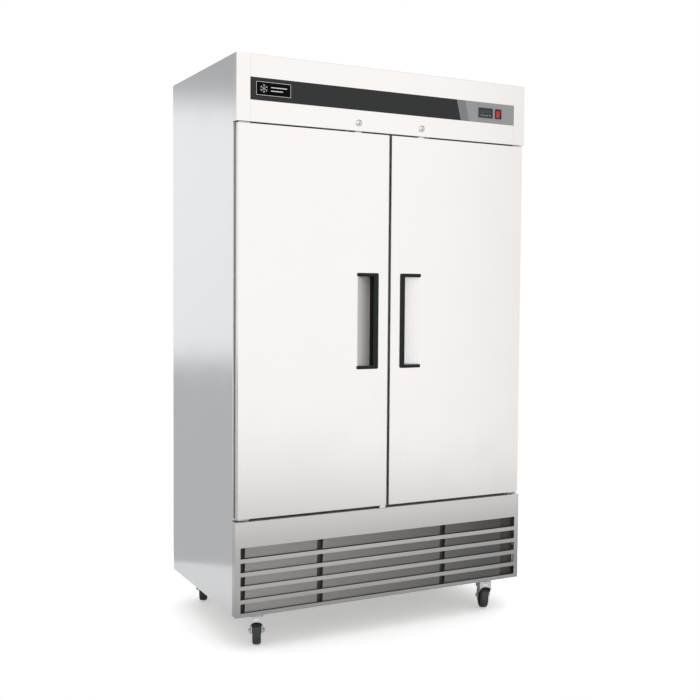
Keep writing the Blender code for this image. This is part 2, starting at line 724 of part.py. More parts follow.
def make_casters(zinc, tyre):
    """Four swivel casters. A bent fork hangs from each swivel head, and its axle trails the swivel axis."""
    for side, side_name in ((-1, "left"), (1, "right")):
        for y, place in ((FRONT + FRONT_CASTER_INSET, "front"), (REAR - REAR_CASTER_INSET, "rear")):
            pivot = (side * CASTER_X + CASTER_SHIFT, y, 0)
            swivel = Matrix.Translation(pivot) @ Matrix.Rotation(CASTER_SWIVEL, 4, "Z")
            name = f"{place}_{side_name}_caster"
            finish(moved(make_fork(), swivel), f"{name}_fork", zinc, pivot)
            axle = swivel @ Vector((0, CASTER_TRAIL, WHEEL_RADIUS))
            finish(moved(make_wheel(), swivel), f"{name}_wheel", tyre, axle)


def make_fork():
    """A caster fork about the swivel axis at the origin, with its wheel toward +Y."""
    half = FORK_WIDTH / 2
    crown = FORK_TOP - 0.012
    head = cylinder((0, 0, FORK_TOP - 0.004), 0.028, 0.008, "Z", 20)
    plate = box((-half, -0.028, crown), (half, 0.026, crown + 0.006))
    hood = box((-half, -0.028, 0.088), (half, -0.028 + FORK_SHEET, crown + 0.006))
    window = box((-0.010, -0.05, 0.101), (0.010, -0.01, 0.109))
    leg = [(-0.028, 0.088), (-0.028, crown + 0.006), (0.026, crown + 0.006), (CASTER_TRAIL + 0.013, 0.052)]
    leg += [(CASTER_TRAIL + 0.008, 0.040), (CASTER_TRAIL - 0.008, 0.040), (CASTER_TRAIL - 0.014, 0.052)]
    legs = [prism(leg, side * half, side * (half - FORK_SHEET), "X") for side in (-1, 1)]
    axle = cylinder((0, CASTER_TRAIL, WHEEL_RADIUS), 0.004, FORK_WIDTH + 0.004, "X", 12)
    nuts = []
    for side in (-1, 1):
        nut_at = (side * (half + 0.003), CASTER_TRAIL, WHEEL_RADIUS)
        nuts.append(cylinder(nut_at, 0.0075, 0.007, "X", 6))
    return join(plate, head, cut(hood, window), *legs, axle, *nuts)


def make_wheel():
    """A wheel on its bore, with rounded shoulders. One flat of its rim is on the floor."""
    half = WHEEL_WIDTH / 2
    rim = WHEEL_RADIUS / math.cos(math.pi / WHEEL_SIDES)
    profile = [(0.0045, -half - 0.002), (0.012, -half - 0.002), (0.014, -half)]
    profile += [(rim - 0.006, -half), (rim, 0.006 - half)]
    profile += [(radius, -height) for radius, height in reversed(profile)]
    phase = math.pi / WHEEL_SIDES
    return turned(profile, (0, CASTER_TRAIL, WHEEL_RADIUS), "X", WHEEL_SIDES, phase)


def fan_blade(centre, radius, hub_radius, axis, count=5, pitch=math.radians(32)):
    """Pitched blades on a hub. The fan turns about the given axis."""
    hub = cylinder((0, 0, 0), hub_radius, HUB_LENGTH, "Z", 16)
    blades = []
    for i in range(count):
        blade = box((hub_radius * 0.6, -0.024, -0.001), (radius, 0.024, 0.001))
        turn = Matrix.Rotation(2 * math.pi * i / count, 4, "Z") @ Matrix.Rotation(pitch, 4, "X")
        blades.append(moved(blade, turn))
    fan = join(hub, *blades)
    lay = Matrix.Rotation(math.pi / 2, 4, "X") if axis == "Y" else Matrix()
    return moved(fan, Matrix.Translation(centre) @ lay)


def make_evaporator(aluminium, white, black, grey):
    """The cold side, in the top of the cabinet: a coil, its fan and motor, and the cover around them."""
    ceiling = CAVITY_TOP - GAP - SHEET - GAP
    cover = box((-COVER_HALF, COVER_FRONT, COVER_BOTTOM), (COVER_HALF, COVER_BACK, ceiling))
    hollow = box(
        (SHEET - COVER_HALF, COVER_FRONT + SHEET, COVER_BOTTOM + SHEET),
        (COVER_HALF - SHEET, COVER_BACK - SHEET, HEIGHT),
    )
    hole = cylinder((0, EVAPORATOR_FAN_Y, COVER_BOTTOM), EVAPORATOR_FAN_RADIUS + 0.006, 0.020, "Z", 32)
    returns = []
    for i in range(8):
        x = -0.350 + 0.100 * i
        returns.append(((x - 0.035, 0.255, 0), (x + 0.035, 0.270, COVER_BOTTOM + 0.010)))
    finish(cut(cover, hollow, hole, boxes(*returns)), "evaporator_cover", white)

    coil = box(COIL_LOW, COIL_HIGH)
    fins = []
    for i in range(18):
        x = COIL_LOW[0] + 0.018 + i * 0.039
        low = (x - 0.012, 0, COIL_LOW[2] + 0.005)
        fins.append((low, (x + 0.012, COIL_LOW[1] + 0.015, COIL_HIGH[2] - 0.005)))
    finish(cut(coil, boxes(*fins)), "evaporator_coil", aluminium)

    motor = cylinder((0, EVAPORATOR_FAN_Y, 1.950), 0.036, 0.060, "Z", 20)
    shaft_low, shaft_high = EVAPORATOR_FAN_Z + HUB_LENGTH / 2 + GAP, 1.922
    shaft_at = (0, EVAPORATOR_FAN_Y, (shaft_low + shaft_high) / 2)
    shaft = cylinder(shaft_at, 0.003, shaft_high - shaft_low, "Z", 10)
    strap = u_outline(0, 0.110, 1.976, ceiling, 0.003)
    bracket = prism(strap, EVAPORATOR_FAN_Y - 0.012, EVAPORATOR_FAN_Y + 0.012, "Y")
    finish(join(motor, shaft, bracket, solver="MANIFOLD"), "evaporator_fan_motor", grey)
    centre = (0, EVAPORATOR_FAN_Y, EVAPORATOR_FAN_Z)
    finish(fan_blade(centre, EVAPORATOR_FAN_RADIUS, 0.018, "Z"), "evaporator_fan_blade", black, centre)


def make_condensing_unit(black, aluminium, copper, white, grey):
    """The warm side, in the machine bay: coil, fan and shroud, compressor, condensate pan and the lines."""
    x, z, y = CONDENSER_X, CONDENSER_Z, FACE + 0.030
    left, right = x - CONDENSER_HALF, x + CONDENSER_HALF
    coil = box((left, y, CONDENSER_BOTTOM), (right, y + CONDENSER_DEPTH, CONDENSER_TOP))
    fins = []
    for i in range(14):
        fin_x = left + 0.024 * (i + 1)
        low = (fin_x - 0.009, -SIDE, CONDENSER_BOTTOM + 0.007)
        fins.append((low, (fin_x + 0.009, y + 0.006, CONDENSER_TOP - 0.007)))
    finish(cut(coil, boxes(*fins)), "condenser_coil", aluminium)

    shroud_y = y + CONDENSER_DEPTH + 0.001
    shroud = box((left, shroud_y, CONDENSER_BOTTOM), (right, shroud_y + SHEET, CONDENSER_TOP))
    throat = cylinder((x, shroud_y, z), CONDENSER_FAN_RADIUS + 0.008, 0.02, "Y", 32)
    shroud = cut(shroud, throat)
    motor_y = CONDENSER_FAN_Y + 0.050
    motor = cylinder((x, motor_y, z), 0.042, 0.060, "Y", 20)
    shaft_low, shaft_high = CONDENSER_FAN_Y + HUB_LENGTH / 2 + GAP, motor_y - 0.028
    shaft = cylinder((x, (shaft_low + shaft_high) / 2, z), 0.003, shaft_high - shaft_low, "Y", 10)
    strap = u_outline(x, 0.123, motor_y + 0.012, shroud_y + SHEET / 2, 0.003)
    bracket = prism(strap, z - 0.010, z + 0.010, "Z")
    finish(join(shroud, bracket, motor, shaft), "condenser_fan_motor", grey)
    centre = (x, CONDENSER_FAN_Y, z)
    finish(fan_blade(centre, CONDENSER_FAN_RADIUS, 0.020, "Y"), "condenser_fan_blade", black, centre)

    base, top, radius = COMPRESSOR_BASE, COMPRESSOR_TOP, COMPRESSOR_RADIUS
    profile = [(0, base), (radius * 0.85, base), (radius, base + 0.020), (radius, top - 0.050)]
    profile += [(radius * 0.85, top - 0.018), (radius * 0.45, top), (0, top)]
    shell = turned(profile, (COMPRESSOR_X, COMPRESSOR_Y, 0), "Z", 24)
    feet = box(
        (COMPRESSOR_X - 0.110, COMPRESSOR_Y - 0.070, base - 0.011),
        (COMPRESSOR_X + 0.110, COMPRESSOR_Y + 0.070, base + 0.003),
    )
    finish(join(shell, feet), "compressor", black)

    wall = 0.002
    pan = box(PAN_LOW, PAN_HIGH)
    basin = box([c + wall for c in PAN_LOW], (PAN_HIGH[0] - wall, PAN_HIGH[1] - wall, PAN_HIGH[2] + WALL))
    finish(cut(pan, basin), "condensate_pan", white)
    make_refrigerant_line(copper)


def make_refrigerant_line(copper):
    """The copper line from the compressor's top round to the condenser coil."""
    stops = [
        (COMPRESSOR_X, COMPRESSOR_Y, COMPRESSOR_TOP + 0.004),
        (COMPRESSOR_X, COMPRESSOR_Y, COMPRESSOR_TOP + 0.040),
        (COMPRESSOR_X - 0.060, COMPRESSOR_Y, COMPRESSOR_TOP + 0.062),
        (0.100, -0.060, 0.434),
        (0.000, -0.200, 0.420),
        (-0.040, -0.275, 0.400),
        (CONDENSER_X + CONDENSER_HALF + 0.002, FACE + 0.052, 0.390),
    ]
    curve = bpy.data.curves.new("refrigerant_line", "CURVE")
    curve.dimensions = "3D"
    curve.bevel_depth = 0.004
    curve.bevel_resolution = 2
    curve.resolution_u = 4
    curve.use_fill_caps = True
    run = curve.splines.new("NURBS")
    run.points.add(len(stops) - 1)
    for point, stop in zip(run.points, stops):
        point.co = (*stop, 1)
    run.order_u = 4
    run.use_endpoint_u = True
    made = bpy.data.objects.new("refrigerant_line", curve)
    bpy.context.scene.collection.objects.link(made)
    curve.materials.append(copper)


def make_lamp(white):
    """A lamp on the inner face of the wall behind the header."""
    back = HEADER_WALL_BACK + GAP + SHEET + GAP
    lamp = box((-LAMP_HALF, back, LAMP_BOTTOM), (LAMP_HALF, back + LAMP_SIZE, LAMP_BOTTOM + LAMP_SIZE))
    finish(lamp, "interior_lamp", white)


def build():
    for leftover in list(bpy.data.objects):
        bpy.data.objects.remove(leftover)

    steel = material("brushed_stainless", (0.78, 0.77, 0.76), 0.32, 1.0)
    galvanised = material("zinc_plate", (0.62, 0.64, 0.65), 0.42, 0.9)
    chrome = material("lock_chrome", (0.80, 0.80, 0.80), 0.15, 1.0)
    aluminium = material("fin_aluminium", (0.75, 0.76, 0.77), 0.45, 1.0)
    copper = material("copper_line", (0.72, 0.38, 0.24), 0.35, 1.0)
    foam = material("foam_insulation", (0.86, 0.80, 0.58), 0.90)
    white = material("liner_white", (0.86, 0.87, 0.87), 0.45)
    black = material("black_paint", (0.02, 0.02, 0.02), 0.50)
    plastic = material("handle_plastic", (0.025, 0.03, 0.032), 0.45)
    grey = material("dark_grey", (0.08, 0.08, 0.09), 0.50)
    rubber = material("gasket_rubber", (0.06, 0.06, 0.06), 0.70)
    tyre = material("wheel_rubber", (0.05, 0.055, 0.06), 0.60)
    red = material("rocker_red", (0.70, 0.03, 0.02), 0.30)
    wire = material("shelf_wire", (0.85, 0.86, 0.86), 0.35)

    make_cabinet(steel, foam, white)
    make_front_frame(steel, white)
    make_pilasters(galvanised)
    make_shelves(wire)
    for side, side_name in ((-1, "left"), (1, "right")):
        make_door(side, side_name, steel, white, rubber, plastic)
    make_hinges(galvanised)
    make_header(steel, black)
    make_controls(black, grey, red)
    make_locks(chrome)
    make_grille(steel)
    make_base(black)
    make_casters(galvanised, tyre)
    make_evaporator(aluminium, white, black, grey)
    make_condensing_unit(black, aluminium, copper, white, grey)
    make_lamp(white)


build()
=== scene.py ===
"""The looks of a two-door reach-in refrigerator, built around its CAD frame. Metres, +Z up, doors at -Y."""

import json
import math

import bmesh
import bpy
from mathutils import Matrix, Vector


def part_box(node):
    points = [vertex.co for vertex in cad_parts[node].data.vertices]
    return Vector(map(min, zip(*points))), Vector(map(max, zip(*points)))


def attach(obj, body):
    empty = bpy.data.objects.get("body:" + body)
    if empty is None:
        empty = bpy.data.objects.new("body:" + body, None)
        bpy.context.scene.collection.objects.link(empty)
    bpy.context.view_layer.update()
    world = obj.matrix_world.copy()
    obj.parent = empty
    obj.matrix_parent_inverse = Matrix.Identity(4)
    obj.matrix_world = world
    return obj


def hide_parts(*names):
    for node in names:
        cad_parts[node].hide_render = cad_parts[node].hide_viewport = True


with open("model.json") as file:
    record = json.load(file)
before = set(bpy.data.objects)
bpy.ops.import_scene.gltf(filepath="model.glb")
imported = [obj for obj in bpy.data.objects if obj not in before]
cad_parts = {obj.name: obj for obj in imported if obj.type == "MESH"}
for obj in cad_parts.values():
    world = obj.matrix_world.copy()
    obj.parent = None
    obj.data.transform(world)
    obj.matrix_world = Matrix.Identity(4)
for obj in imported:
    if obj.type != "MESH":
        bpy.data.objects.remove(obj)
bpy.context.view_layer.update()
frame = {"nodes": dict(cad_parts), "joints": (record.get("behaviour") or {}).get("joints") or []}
NODES = frame["nodes"]
SIDES = ((-1, "left"), (1, "right"))

# Camera
CAMERA_AT = (-1.853, -3.9095, 1.303)
CAMERA_YAW = math.radians(29.58)
CAMERA_PITCH = math.radians(-2.92)
CAMERA_ROLL = math.radians(0.62)
CAMERA_LENS = 55.0
CAMERA_SHIFT = (-0.107, -0.0134)

# Planes and edges of the cabinet, from the frame
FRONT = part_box("header_frame")[0].y
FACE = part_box("left_side_panel")[0].y
DOOR_BOTTOM, DOOR_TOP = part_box("left_door_skin")[0].z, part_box("left_door_skin")[1].z
HEADER_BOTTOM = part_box("header_frame")[0].z
GRILLE_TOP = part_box("louver_grille")[1].z
JOINTS = {joint["name"]: joint for joint in frame["joints"]}
LOCK_X, LOCK_Z = JOINTS["right_lock_turn"]["pos_m"][0], JOINTS["right_lock_turn"]["pos_m"][2]
CAM_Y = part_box("right_lock_plug")[1].y - 0.004
HINGE_X, HINGE_Y = JOINTS["right_door_hinge"]["pos_m"][:2]
SLOT_TOP = 0.377
SLOT_HEIGHTS = (0.0395, 0.0335, 0.0335, 0.0335, 0.0335)
SLOT_PITCH = 0.0483
RIB_SPANS = ((-0.579, -0.562), (-0.285, -0.263), (0.233, 0.255), (0.515, 0.579))
BLADE_DROP = 0.0375
BLADE_RUN = 0.0062
LINING_BOTTOM, LINING_TOP = 0.532, 1.801
NAMEPLATE = (-0.5285, 1.9550, -0.3965, 2.0050)
SILVER_FIELDS = ((0.283, 0.302, (0.22, 0.23, 0.24)), (0.322, 0.338, (0.33, 0.34, 0.35)))
WHEEL_RADIUS = 0.050

# Floor
FLOOR_RADIUS = 1.25
FLOOR_GLOW = 0.40


# Meshes


def linked(name, data):
    """A new object in the scene."""
    made = bpy.data.objects.new(name, data)
    bpy.context.scene.collection.objects.link(made)
    return made


def mesh_of(name, shape, surface):
    """A mesh from a bmesh, with its material."""
    mesh = bpy.data.meshes.new(name)
    shape.to_mesh(mesh)
    shape.free()
    mesh.materials.append(surface)
    return mesh


def add(name, shape, surface, body="root", replaces=(), smooth_under=35):
    """A finished piece from a bmesh: shaded, painted and riding on its body."""
    bmesh.ops.remove_doubles(shape, verts=shape.verts, dist=1e-6)
    bmesh.ops.recalc_face_normals(shape, faces=shape.faces)
    mesh = mesh_of(name, shape, surface)
    piece = linked(name, mesh)
    mesh.shade_smooth()
    mesh.set_sharp_from_angle(angle=math.radians(smooth_under))
    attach(piece, body)
    if replaces:
        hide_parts(*replaces)
    return piece


def bevel(piece, width, segments=2, angle=30):
    """Rounds the piece's sharp edges."""
    step = piece.modifiers.new("rounded_edges", "BEVEL")
    step.width = width
    step.segments = segments
    step.limit_method = "ANGLE"
    step.angle_limit = math.radians(angle)
    step.harden_normals = False
    step.use_clamp_overlap = True
    return piece


def box(shape, low, high, edge=0.0):
    """One box in a bmesh, with its edges rounded by edge."""
    low, high = zip(*(sorted(pair) for pair in zip(low, high)))
    size = [b - a for a, b in zip(low, high)]
    middle = [(a + b) / 2 for a, b in zip(low, high)]
    placed = Matrix.Translation(middle) @ Matrix.Diagonal((*size, 1))
    made = bmesh.ops.create_cube(shape, size=1, matrix=placed)
    if edge:
        edges = list({e for v in made["verts"] for e in v.link_edges})
        bmesh.ops.bevel(shape, geom=edges, offset=edge, segments=2, profile=0.5, affect="EDGES")


def blocks(name, surface, corners, edge=0.0, body="root", replaces=()):
    """A piece made of boxes, each given by two corners."""
    shape = bmesh.new()
    for low, high in corners:
        box(shape, low, high, edge)
    add(name, shape, surface, body, replaces)


def rounded(corners, radius, steps=4):
    """A flat outline whose corners are arcs. radius is one number, or one for each corner."""
    radii = [radius] * len(corners) if isinstance(radius, (int, float)) else radius
    points = []
    for i, (corner, size) in enumerate(zip(corners, radii)):
        here = Vector(corner)
        before = (Vector(corners[i - 1]) - here).normalized()
        after = (Vector(corners[(i + 1) % len(corners)]) - here).normalized()
        if size <= 0:
            points.append(tuple(here))
            continue
        half = before.angle(after) / 2
        centre = here + (before + after).normalized() * (size / math.sin(half))
        start = here + before * (size / math.tan(half)) - centre
        end = here + after * (size / math.tan(half)) - centre
        sweep = start.angle_signed(end)
        for k in range(steps + 1):
            turn = Matrix.Rotation(-sweep * k / steps, 2)
            points.append(tuple(centre + turn @ start))
    return points


def rectangle(x0, z0, x1, z1):
    return [(x0, z0), (x1, z0), (x1, z1), (x0, z1)]


def lay(point, along, axis):
    """A point of a flat outline, placed along an axis. Its two numbers are the other axes, in XYZ order."""
    if axis == "X":
        return (along, point[0], point[1])
    if axis == "Y":
        return (point[0], along, point[1])
    return (point[0], point[1], along)


def loft(shape, rings, closed=True, capped=True):
    """Skins a list of rings that have the same number of points."""
    made = [[shape.verts.new(spot) for spot in ring] for ring in rings]
    count = len(made[0])
    for a, b in zip(made, made[1:]):
        for i in range(count if closed else count - 1):
            j = (i + 1) % count
            shape.faces.new((a[i], a[j], b[j], b[i]))
    if capped:
        shape.faces.new(made[0])
        shape.faces.new(made[-1])


def plate(shape, outline, start, end, axis="Y", edge=0.0):
    """An outline pulled from start to end along an axis. An edge rounds its start face."""
    if not edge:
        loft(shape, [[lay(p, start, axis) for p in outline], [lay(p, end, axis) for p in outline]])
        return
    sign = 1 if end > start else -1
    inner = [lay(p, start, axis) for p in shrunk(outline, edge)]
    middle = [lay(p, start + sign * edge * 0.3, axis) for p in shrunk(outline, edge * 0.3)]
    outer = [lay(p, start + sign * edge, axis) for p in outline]
    loft(shape, [inner, middle, outer, [lay(p, end, axis) for p in outline]])


def shrunk(outline, distance):
    """The outline moved inward by a distance, point by point."""
    points = [Vector(p) for p in outline]
    area = sum(a.x * b.y - b.x * a.y for a, b in zip(points, points[1:] + points[:1]))
    sign = 1 if area > 0 else -1
    result = []
    for i, here in enumerate(points):
        before, after = points[i - 1], points[(i + 1) % len(points)]
        first, second = (here - before).normalized(), (after - here).normalized()
        normal_a = Vector((-first.y, first.x)) * sign
        normal_b = Vector((-second.y, second.x)) * sign
        middle = (normal_a + normal_b).normalized()
        result.append(tuple(here + middle * (distance / max(0.5, middle.dot(normal_a)))))
    return result


def turned(shape, profile, centre, axis="Z", sides=32, close=False):
    """A (radius, height) profile turned about an axis through centre."""
    turn_about = {"X": "Y", "Y": "X"}.get(axis)
    turn = Matrix.Rotation(math.pi / 2, 4, turn_about) if turn_about else Matrix()
    place = Matrix.Translation(centre) @ turn
    columns = []
    for step in range(sides):
        angle = 2 * math.pi * step / sides
        column = []
        for radius, height in profile:
            if radius == 0 and step:
                column.append(columns[0][len(column)])
                continue
            spot = Vector((radius * math.cos(angle), radius * math.sin(angle), height))
            column.append(shape.verts.new(place @ spot))
        columns.append(column)
    count = len(profile)
    for step in range(sides):
        here, after = columns[step], columns[(step + 1) % sides]
        for i in range(count if close else count - 1):
            j = (i + 1) % count
            corners = []
            for corner in (here[i], here[j], after[j], after[i]):
                if corner not in corners:
                    corners.append(corner)
            if len(corners) > 2:
                shape.faces.new(corners)


def tube(shape, path, radius, sides=8, closed=False):
    """A round rod along a path of points."""
    points = [Vector(p) for p in path]
    count = len(points)
    rings = []
    reference = None
    for i, here in enumerate(points):
        before = points[i - 1] if i or closed else here
        after = points[(i + 1) % count] if i < count - 1 or closed else here
        along = (after - before).normalized()
        if reference is None:
            reference = along.orthogonal().normalized()
        reference = (reference - along * reference.dot(along)).normalized()
        across = along.cross(reference)
        ring = []
        for k in range(sides):
            angle = 2 * math.pi * k / sides
            ring.append(here + radius * (math.cos(angle) * reference + math.sin(angle) * across))
        rings.append(ring)
    if closed:
        rings.append(rings[0])
    loft(shape, rings, capped=not closed)


def moved(shape, matrix, start=0):
    """Moves the bmesh's points from number start on."""
    shape.verts.ensure_lookup_table()
    bmesh.ops.transform(shape, matrix=matrix, verts=shape.verts[start:])


def mitred_ring(shape, low, high, profile, corner=0.0, steps=4):
    """A moulding around an upright rectangle. The profile's points are (inset from the edge, y)."""
    rings = []
    for inset, y in profile:
        corners = rectangle(low[0] + inset, low[1] + inset, high[0] - inset, high[1] - inset)
        radius = max(corner - inset, 0.0005)
        rings.append([(x, y, z) for x, z in rounded(corners, radius, steps)])
    rings.append(rings[0])
    loft(shape, rings, capped=False)


# Materials


def shader_node(tree, kind, inputs, **settings):
    """A shader node's outputs. Each input is a plain value or another node's output."""
    made = tree.nodes.new("ShaderNode" + kind)
    for name, value in settings.items():
        setattr(made, name, value)
    for name, value in inputs.items():
        if isinstance(value, bpy.types.NodeSocket):
            tree.links.new(value, made.inputs[name])
        else:
            made.inputs[name].default_value = value
    return made.outputs


def mixed(tree, factor, low, high):
    """A colour between two others, of which the first may be a node's output."""
    first = low if isinstance(low, bpy.types.NodeSocket) else (*low, 1)
    return shader_node(tree, "Mix", {0: factor, 6: first, 7: (*high, 1)}, data_type="RGBA")[2]


def spread(tree, value, low, high, start=0.3, end=0.7):
    """Maps a value's range, start to end, onto low to high."""
    ranges = {"Value": value, "From Min": start, "From Max": end, "To Min": low, "To Max": high}
    return shader_node(tree, "MapRange", ranges)["Result"]


def object_space(tree):
    return shader_node(tree, "TexCoord", {})["Object"]


def axes(tree, place):
    return shader_node(tree, "SeparateXYZ", {0: place})


def noise(tree, stretch, scale, detail, roughness=0.5):
    """Noise in the piece's own space, stretched along the axes."""
    place = shader_node(tree, "Mapping", {"Vector": object_space(tree), "Scale": stretch})["Vector"]
    grain = {"Vector": place, "Scale": scale, "Detail": detail, "Roughness": roughness}
    return shader_node(tree, "TexNoise", grain)["Fac"]


def surface(name, colour, roughness, metallic=0.0, stretch=(1, 1, 1), scale=60, vary=0.06,
            rough_vary=0.05, bump=0.1, depth=0.0002, smudge=0.03, **sockets):
    """A Principled surface: fine grain in colour, roughness and relief, and broad smudges in its gloss."""
    made = bpy.data.materials.new(name)
    made.use_nodes = True
    tree = made.node_tree
    shader = tree.nodes["Principled BSDF"]
    shader.inputs["Metallic"].default_value = metallic
    for socket, value in sockets.items():
        shader.inputs[socket.replace("_", " ")].default_value = value
    fine = noise(tree, stretch, scale, 4.0, 0.6)
    broad = noise(tree, (1, 1, 1), 5.0, 2.0)
    dark = [c * (1 - vary) for c in colour]
    light = [min(1.0, c * (1 + vary)) for c in colour]
    grain = spread(tree, fine, roughness - rough_vary, roughness + rough_vary)
    smear = spread(tree, broad, -smudge, smudge)
    gloss = shader_node(tree, "Math", {0: grain, 1: smear}, operation="ADD", use_clamp=True)[0]
    relief = shader_node(tree, "Bump", {"Height": fine, "Strength": bump, "Distance": depth})["Normal"]
    tree.links.new(mixed(tree, fine, dark, light), shader.inputs["Base Color"])
    tree.links.new(gloss, shader.inputs["Roughness"])
    tree.links.new(relief, shader.inputs["Normal"])
    return made


def brushed(name, colour, roughness, along="Z", **options):
    """Stainless sheet with its grain along one axis."""
    stretch = {"X": (0.02, 1, 1), "Z": (1, 1, 0.02)}[along]
    settings = dict(metallic=1.0, stretch=stretch, scale=420, vary=0.012, rough_vary=0.02, bump=0.015,
                    smudge=0.015)
    settings.update(options)
    return surface(name, colour, roughness, **settings)


def painted_shade_ramp(made, axis, low, high, start, end):
    """Paints shade into the surface: scales its colour from low to high between two places on an axis of the
    object.
    """
    tree = made.node_tree
    base = tree.nodes["Principled BSDF"].inputs["Base Color"]
    shade = spread(tree, axes(tree, object_space(tree))[axis], low, high, start, end)
    inputs = {0: base.links[0].from_socket, "Scale": shade}
    tree.links.new(shader_node(tree, "VectorMath", inputs, operation="SCALE")[0], base)
    return made


def make_strip_surface():
    """The control strip: glossy black, with two slanted silver fields toward its right end."""
    made = surface("strip_black", (0.010, 0.013, 0.014), 0.30, scale=300, vary=0.05, bump=0.01,
                   Specular_IOR_Level=0.35)
    tree = made.node_tree
    base = tree.nodes["Principled BSDF"].inputs["Base Color"]
    colour = base.links[0].from_socket
    low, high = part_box("header_strip")
    place = axes(tree, object_space(tree))
    for top_x, bottom_x, shade in SILVER_FIELDS:
        slope = (bottom_x - top_x) / (high.z - low.z)
        shift = {0: place["Z"], 1: slope, 2: -(top_x + slope * high.z)}
        edge = shader_node(tree, "Math", shift, operation="MULTIPLY_ADD")[0]
        over = shader_node(tree, "Math", {0: place["X"], 1: edge}, operation="ADD")[0]
        mask = shader_node(tree, "Math", {0: over, 1: 0.0}, operation="GREATER_THAN")[0]
        colour = mixed(tree, mask, colour, shade)
    tree.links.new(colour, base)
    return made


DOOR_STEEL = brushed("door_steel", (0.84, 0.82, 0.81), 0.155)
SIDE_STEEL = brushed("side_steel", (0.80, 0.81, 0.82), 0.13)
GRILLE_STEEL_PAINTED_SHADE = brushed("grille_steel_painted_shade", (0.64, 0.635, 0.63), 0.22, "X", vary=0.01, rough_vary=0.01,
                       smudge=0.005)
# Painted shade: the grille's colour grows darker towards the bottom of the panel, in place of the darker
# reflection it takes low down.
GRILLE_STEEL_PAINTED_SHADE = painted_shade_ramp(GRILLE_STEEL_PAINTED_SHADE, "Z", 0.56, 1.18, 0.14, 0.45)
# Painted light: a whiter, half-metal copy of the door steel, which lifts the shade inside the handle pockets.
POCKET_STEEL_PAINTED_LIGHT = brushed("pocket_steel_painted_light", (0.98, 0.965, 0.955), 0.28, metallic=0.5, vary=0.004,
                       rough_vary=0.01, bump=0.004, smudge=0.005)
FRAME_STEEL = brushed("frame_steel", (0.66, 0.66, 0.66), 0.28, vary=0.008, rough_vary=0.01, bump=0.006)
GALVANISED = surface("galvanised", (0.62, 0.64, 0.65), 0.42, 0.9, scale=35, vary=0.14, rough_vary=0.10,
                     bump=0.05)
ZINC = surface("zinc_plate", (0.60, 0.61, 0.62), 0.34, 0.95, scale=90, vary=0.08, rough_vary=0.08, bump=0.08)
CHROME = surface("chrome", (0.82, 0.82, 0.83), 0.12, 1.0, scale=200, vary=0.03, rough_vary=0.03, bump=0.02,
                 smudge=0.01)
ALUMINIUM = surface("aluminium", (0.76, 0.77, 0.78), 0.38, 1.0, scale=150, vary=0.06, bump=0.05)
COPPER = surface("copper", (0.75, 0.40, 0.26), 0.30, 1.0, scale=80, vary=0.15, rough_vary=0.10, bump=0.03)
FOAM = surface("foam", (0.82, 0.72, 0.46), 0.90, scale=500, vary=0.12, bump=0.3, depth=0.001)
LINER = surface("liner_white", (0.84, 0.85, 0.85), 0.34, scale=260, vary=0.02, rough_vary=0.05, bump=0.04)
BLACK_PAINT = surface("black_paint", (0.022, 0.022, 0.022), 0.42, scale=400, vary=0.2, rough_vary=0.08,
                      bump=0.08)
DARK_PAINT = surface("rib_paint", (0.045, 0.040, 0.034), 0.50, scale=300, vary=0.2, rough_vary=0.08,
                     bump=0.08)
HANDLE_PLASTIC = surface("handle_plastic", (0.006, 0.009, 0.010), 0.45, scale=900, vary=0.15, bump=0.08,
                         Specular_IOR_Level=0.28)
# Painted shade: a darker, duller copy of the handle's black plastic, for the deep wall inside the handle's
# pocket.
WALL_PAINTED_SHADE_BLACK = surface("pocket_wall_painted_shade", (0.0015, 0.0015, 0.0015), 0.60, scale=900, vary=0.1, bump=0.05,
                     Specular_IOR_Level=0.08)
DARK_PLASTIC = surface("dark_plastic", (0.020, 0.023, 0.026), 0.38, scale=700, vary=0.1, bump=0.08)
DARK_GLASS = surface("display_glass", (0.008, 0.010, 0.012), 0.06, scale=200, vary=0.1, rough_vary=0.02,
                     bump=0.005, smudge=0.01, Coat_Weight=0.4)
BUTTON_GREY = surface("button_grey", (0.30, 0.31, 0.32), 0.45, scale=600, vary=0.06, bump=0.06)
HUB_PLASTIC = surface("hub_plastic", (0.030, 0.036, 0.040), 0.40, scale=350, vary=0.10, bump=0.06)
RUBBER = surface("gasket_rubber", (0.10, 0.10, 0.105), 0.62, scale=500, vary=0.12, rough_vary=0.08, bump=0.12)
# Painted light: the seals' grey is lighter than the gasket rubber, to lift the shade in the seams above and
# below the doors.
SEAL_PAINTED_LIGHT_GREY = surface("seal_grey_painted_light", (0.20, 0.195, 0.19), 0.60, scale=500, vary=0.10, bump=0.06)
WHEEL_RUBBER = surface("wheel_rubber", (0.028, 0.034, 0.038), 0.50, scale=350, vary=0.18, rough_vary=0.1,
                       bump=0.15)
ROCKER_RED = surface("rocker_red", (0.62, 0.022, 0.016), 0.25, scale=500, vary=0.05, bump=0.03)
NYLON = surface("white_nylon", (0.86, 0.87, 0.86), 0.40, scale=300, vary=0.03, bump=0.04)
WIRE_COAT = surface("wire_coating", (0.83, 0.84, 0.84), 0.30, scale=400, vary=0.03, rough_vary=0.06,
                    bump=0.05)
LAMP_LENS = surface("lamp_lens", (0.92, 0.93, 0.91), 0.30, scale=300, vary=0.02, bump=0.03,
                    Subsurface_Weight=0.2)
PLATE_BLACK = surface("plate_black", (0.001, 0.001, 0.001), 0.40, scale=300, vary=0.1, bump=0.02,
                      Specular_IOR_Level=0.05)
PLATE_SILVER = surface("plate_silver", (0.62, 0.63, 0.64), 0.28, 0.8, scale=300, vary=0.05, bump=0.03)
STRIP = make_strip_surface()
# Painted shade: the blades are the grille's own steel, given a much darker colour for the shade behind the
# slots, and darker still towards the right.
BLADE_STEEL_PAINTED_SHADE = brushed("blade_steel_painted_shade", (0.30, 0.295, 0.29), 0.36, "X")
BLADE_STEEL_PAINTED_SHADE = painted_shade_ramp(BLADE_STEEL_PAINTED_SHADE, "X", 1.08, 0.42, -0.45, 0.45)


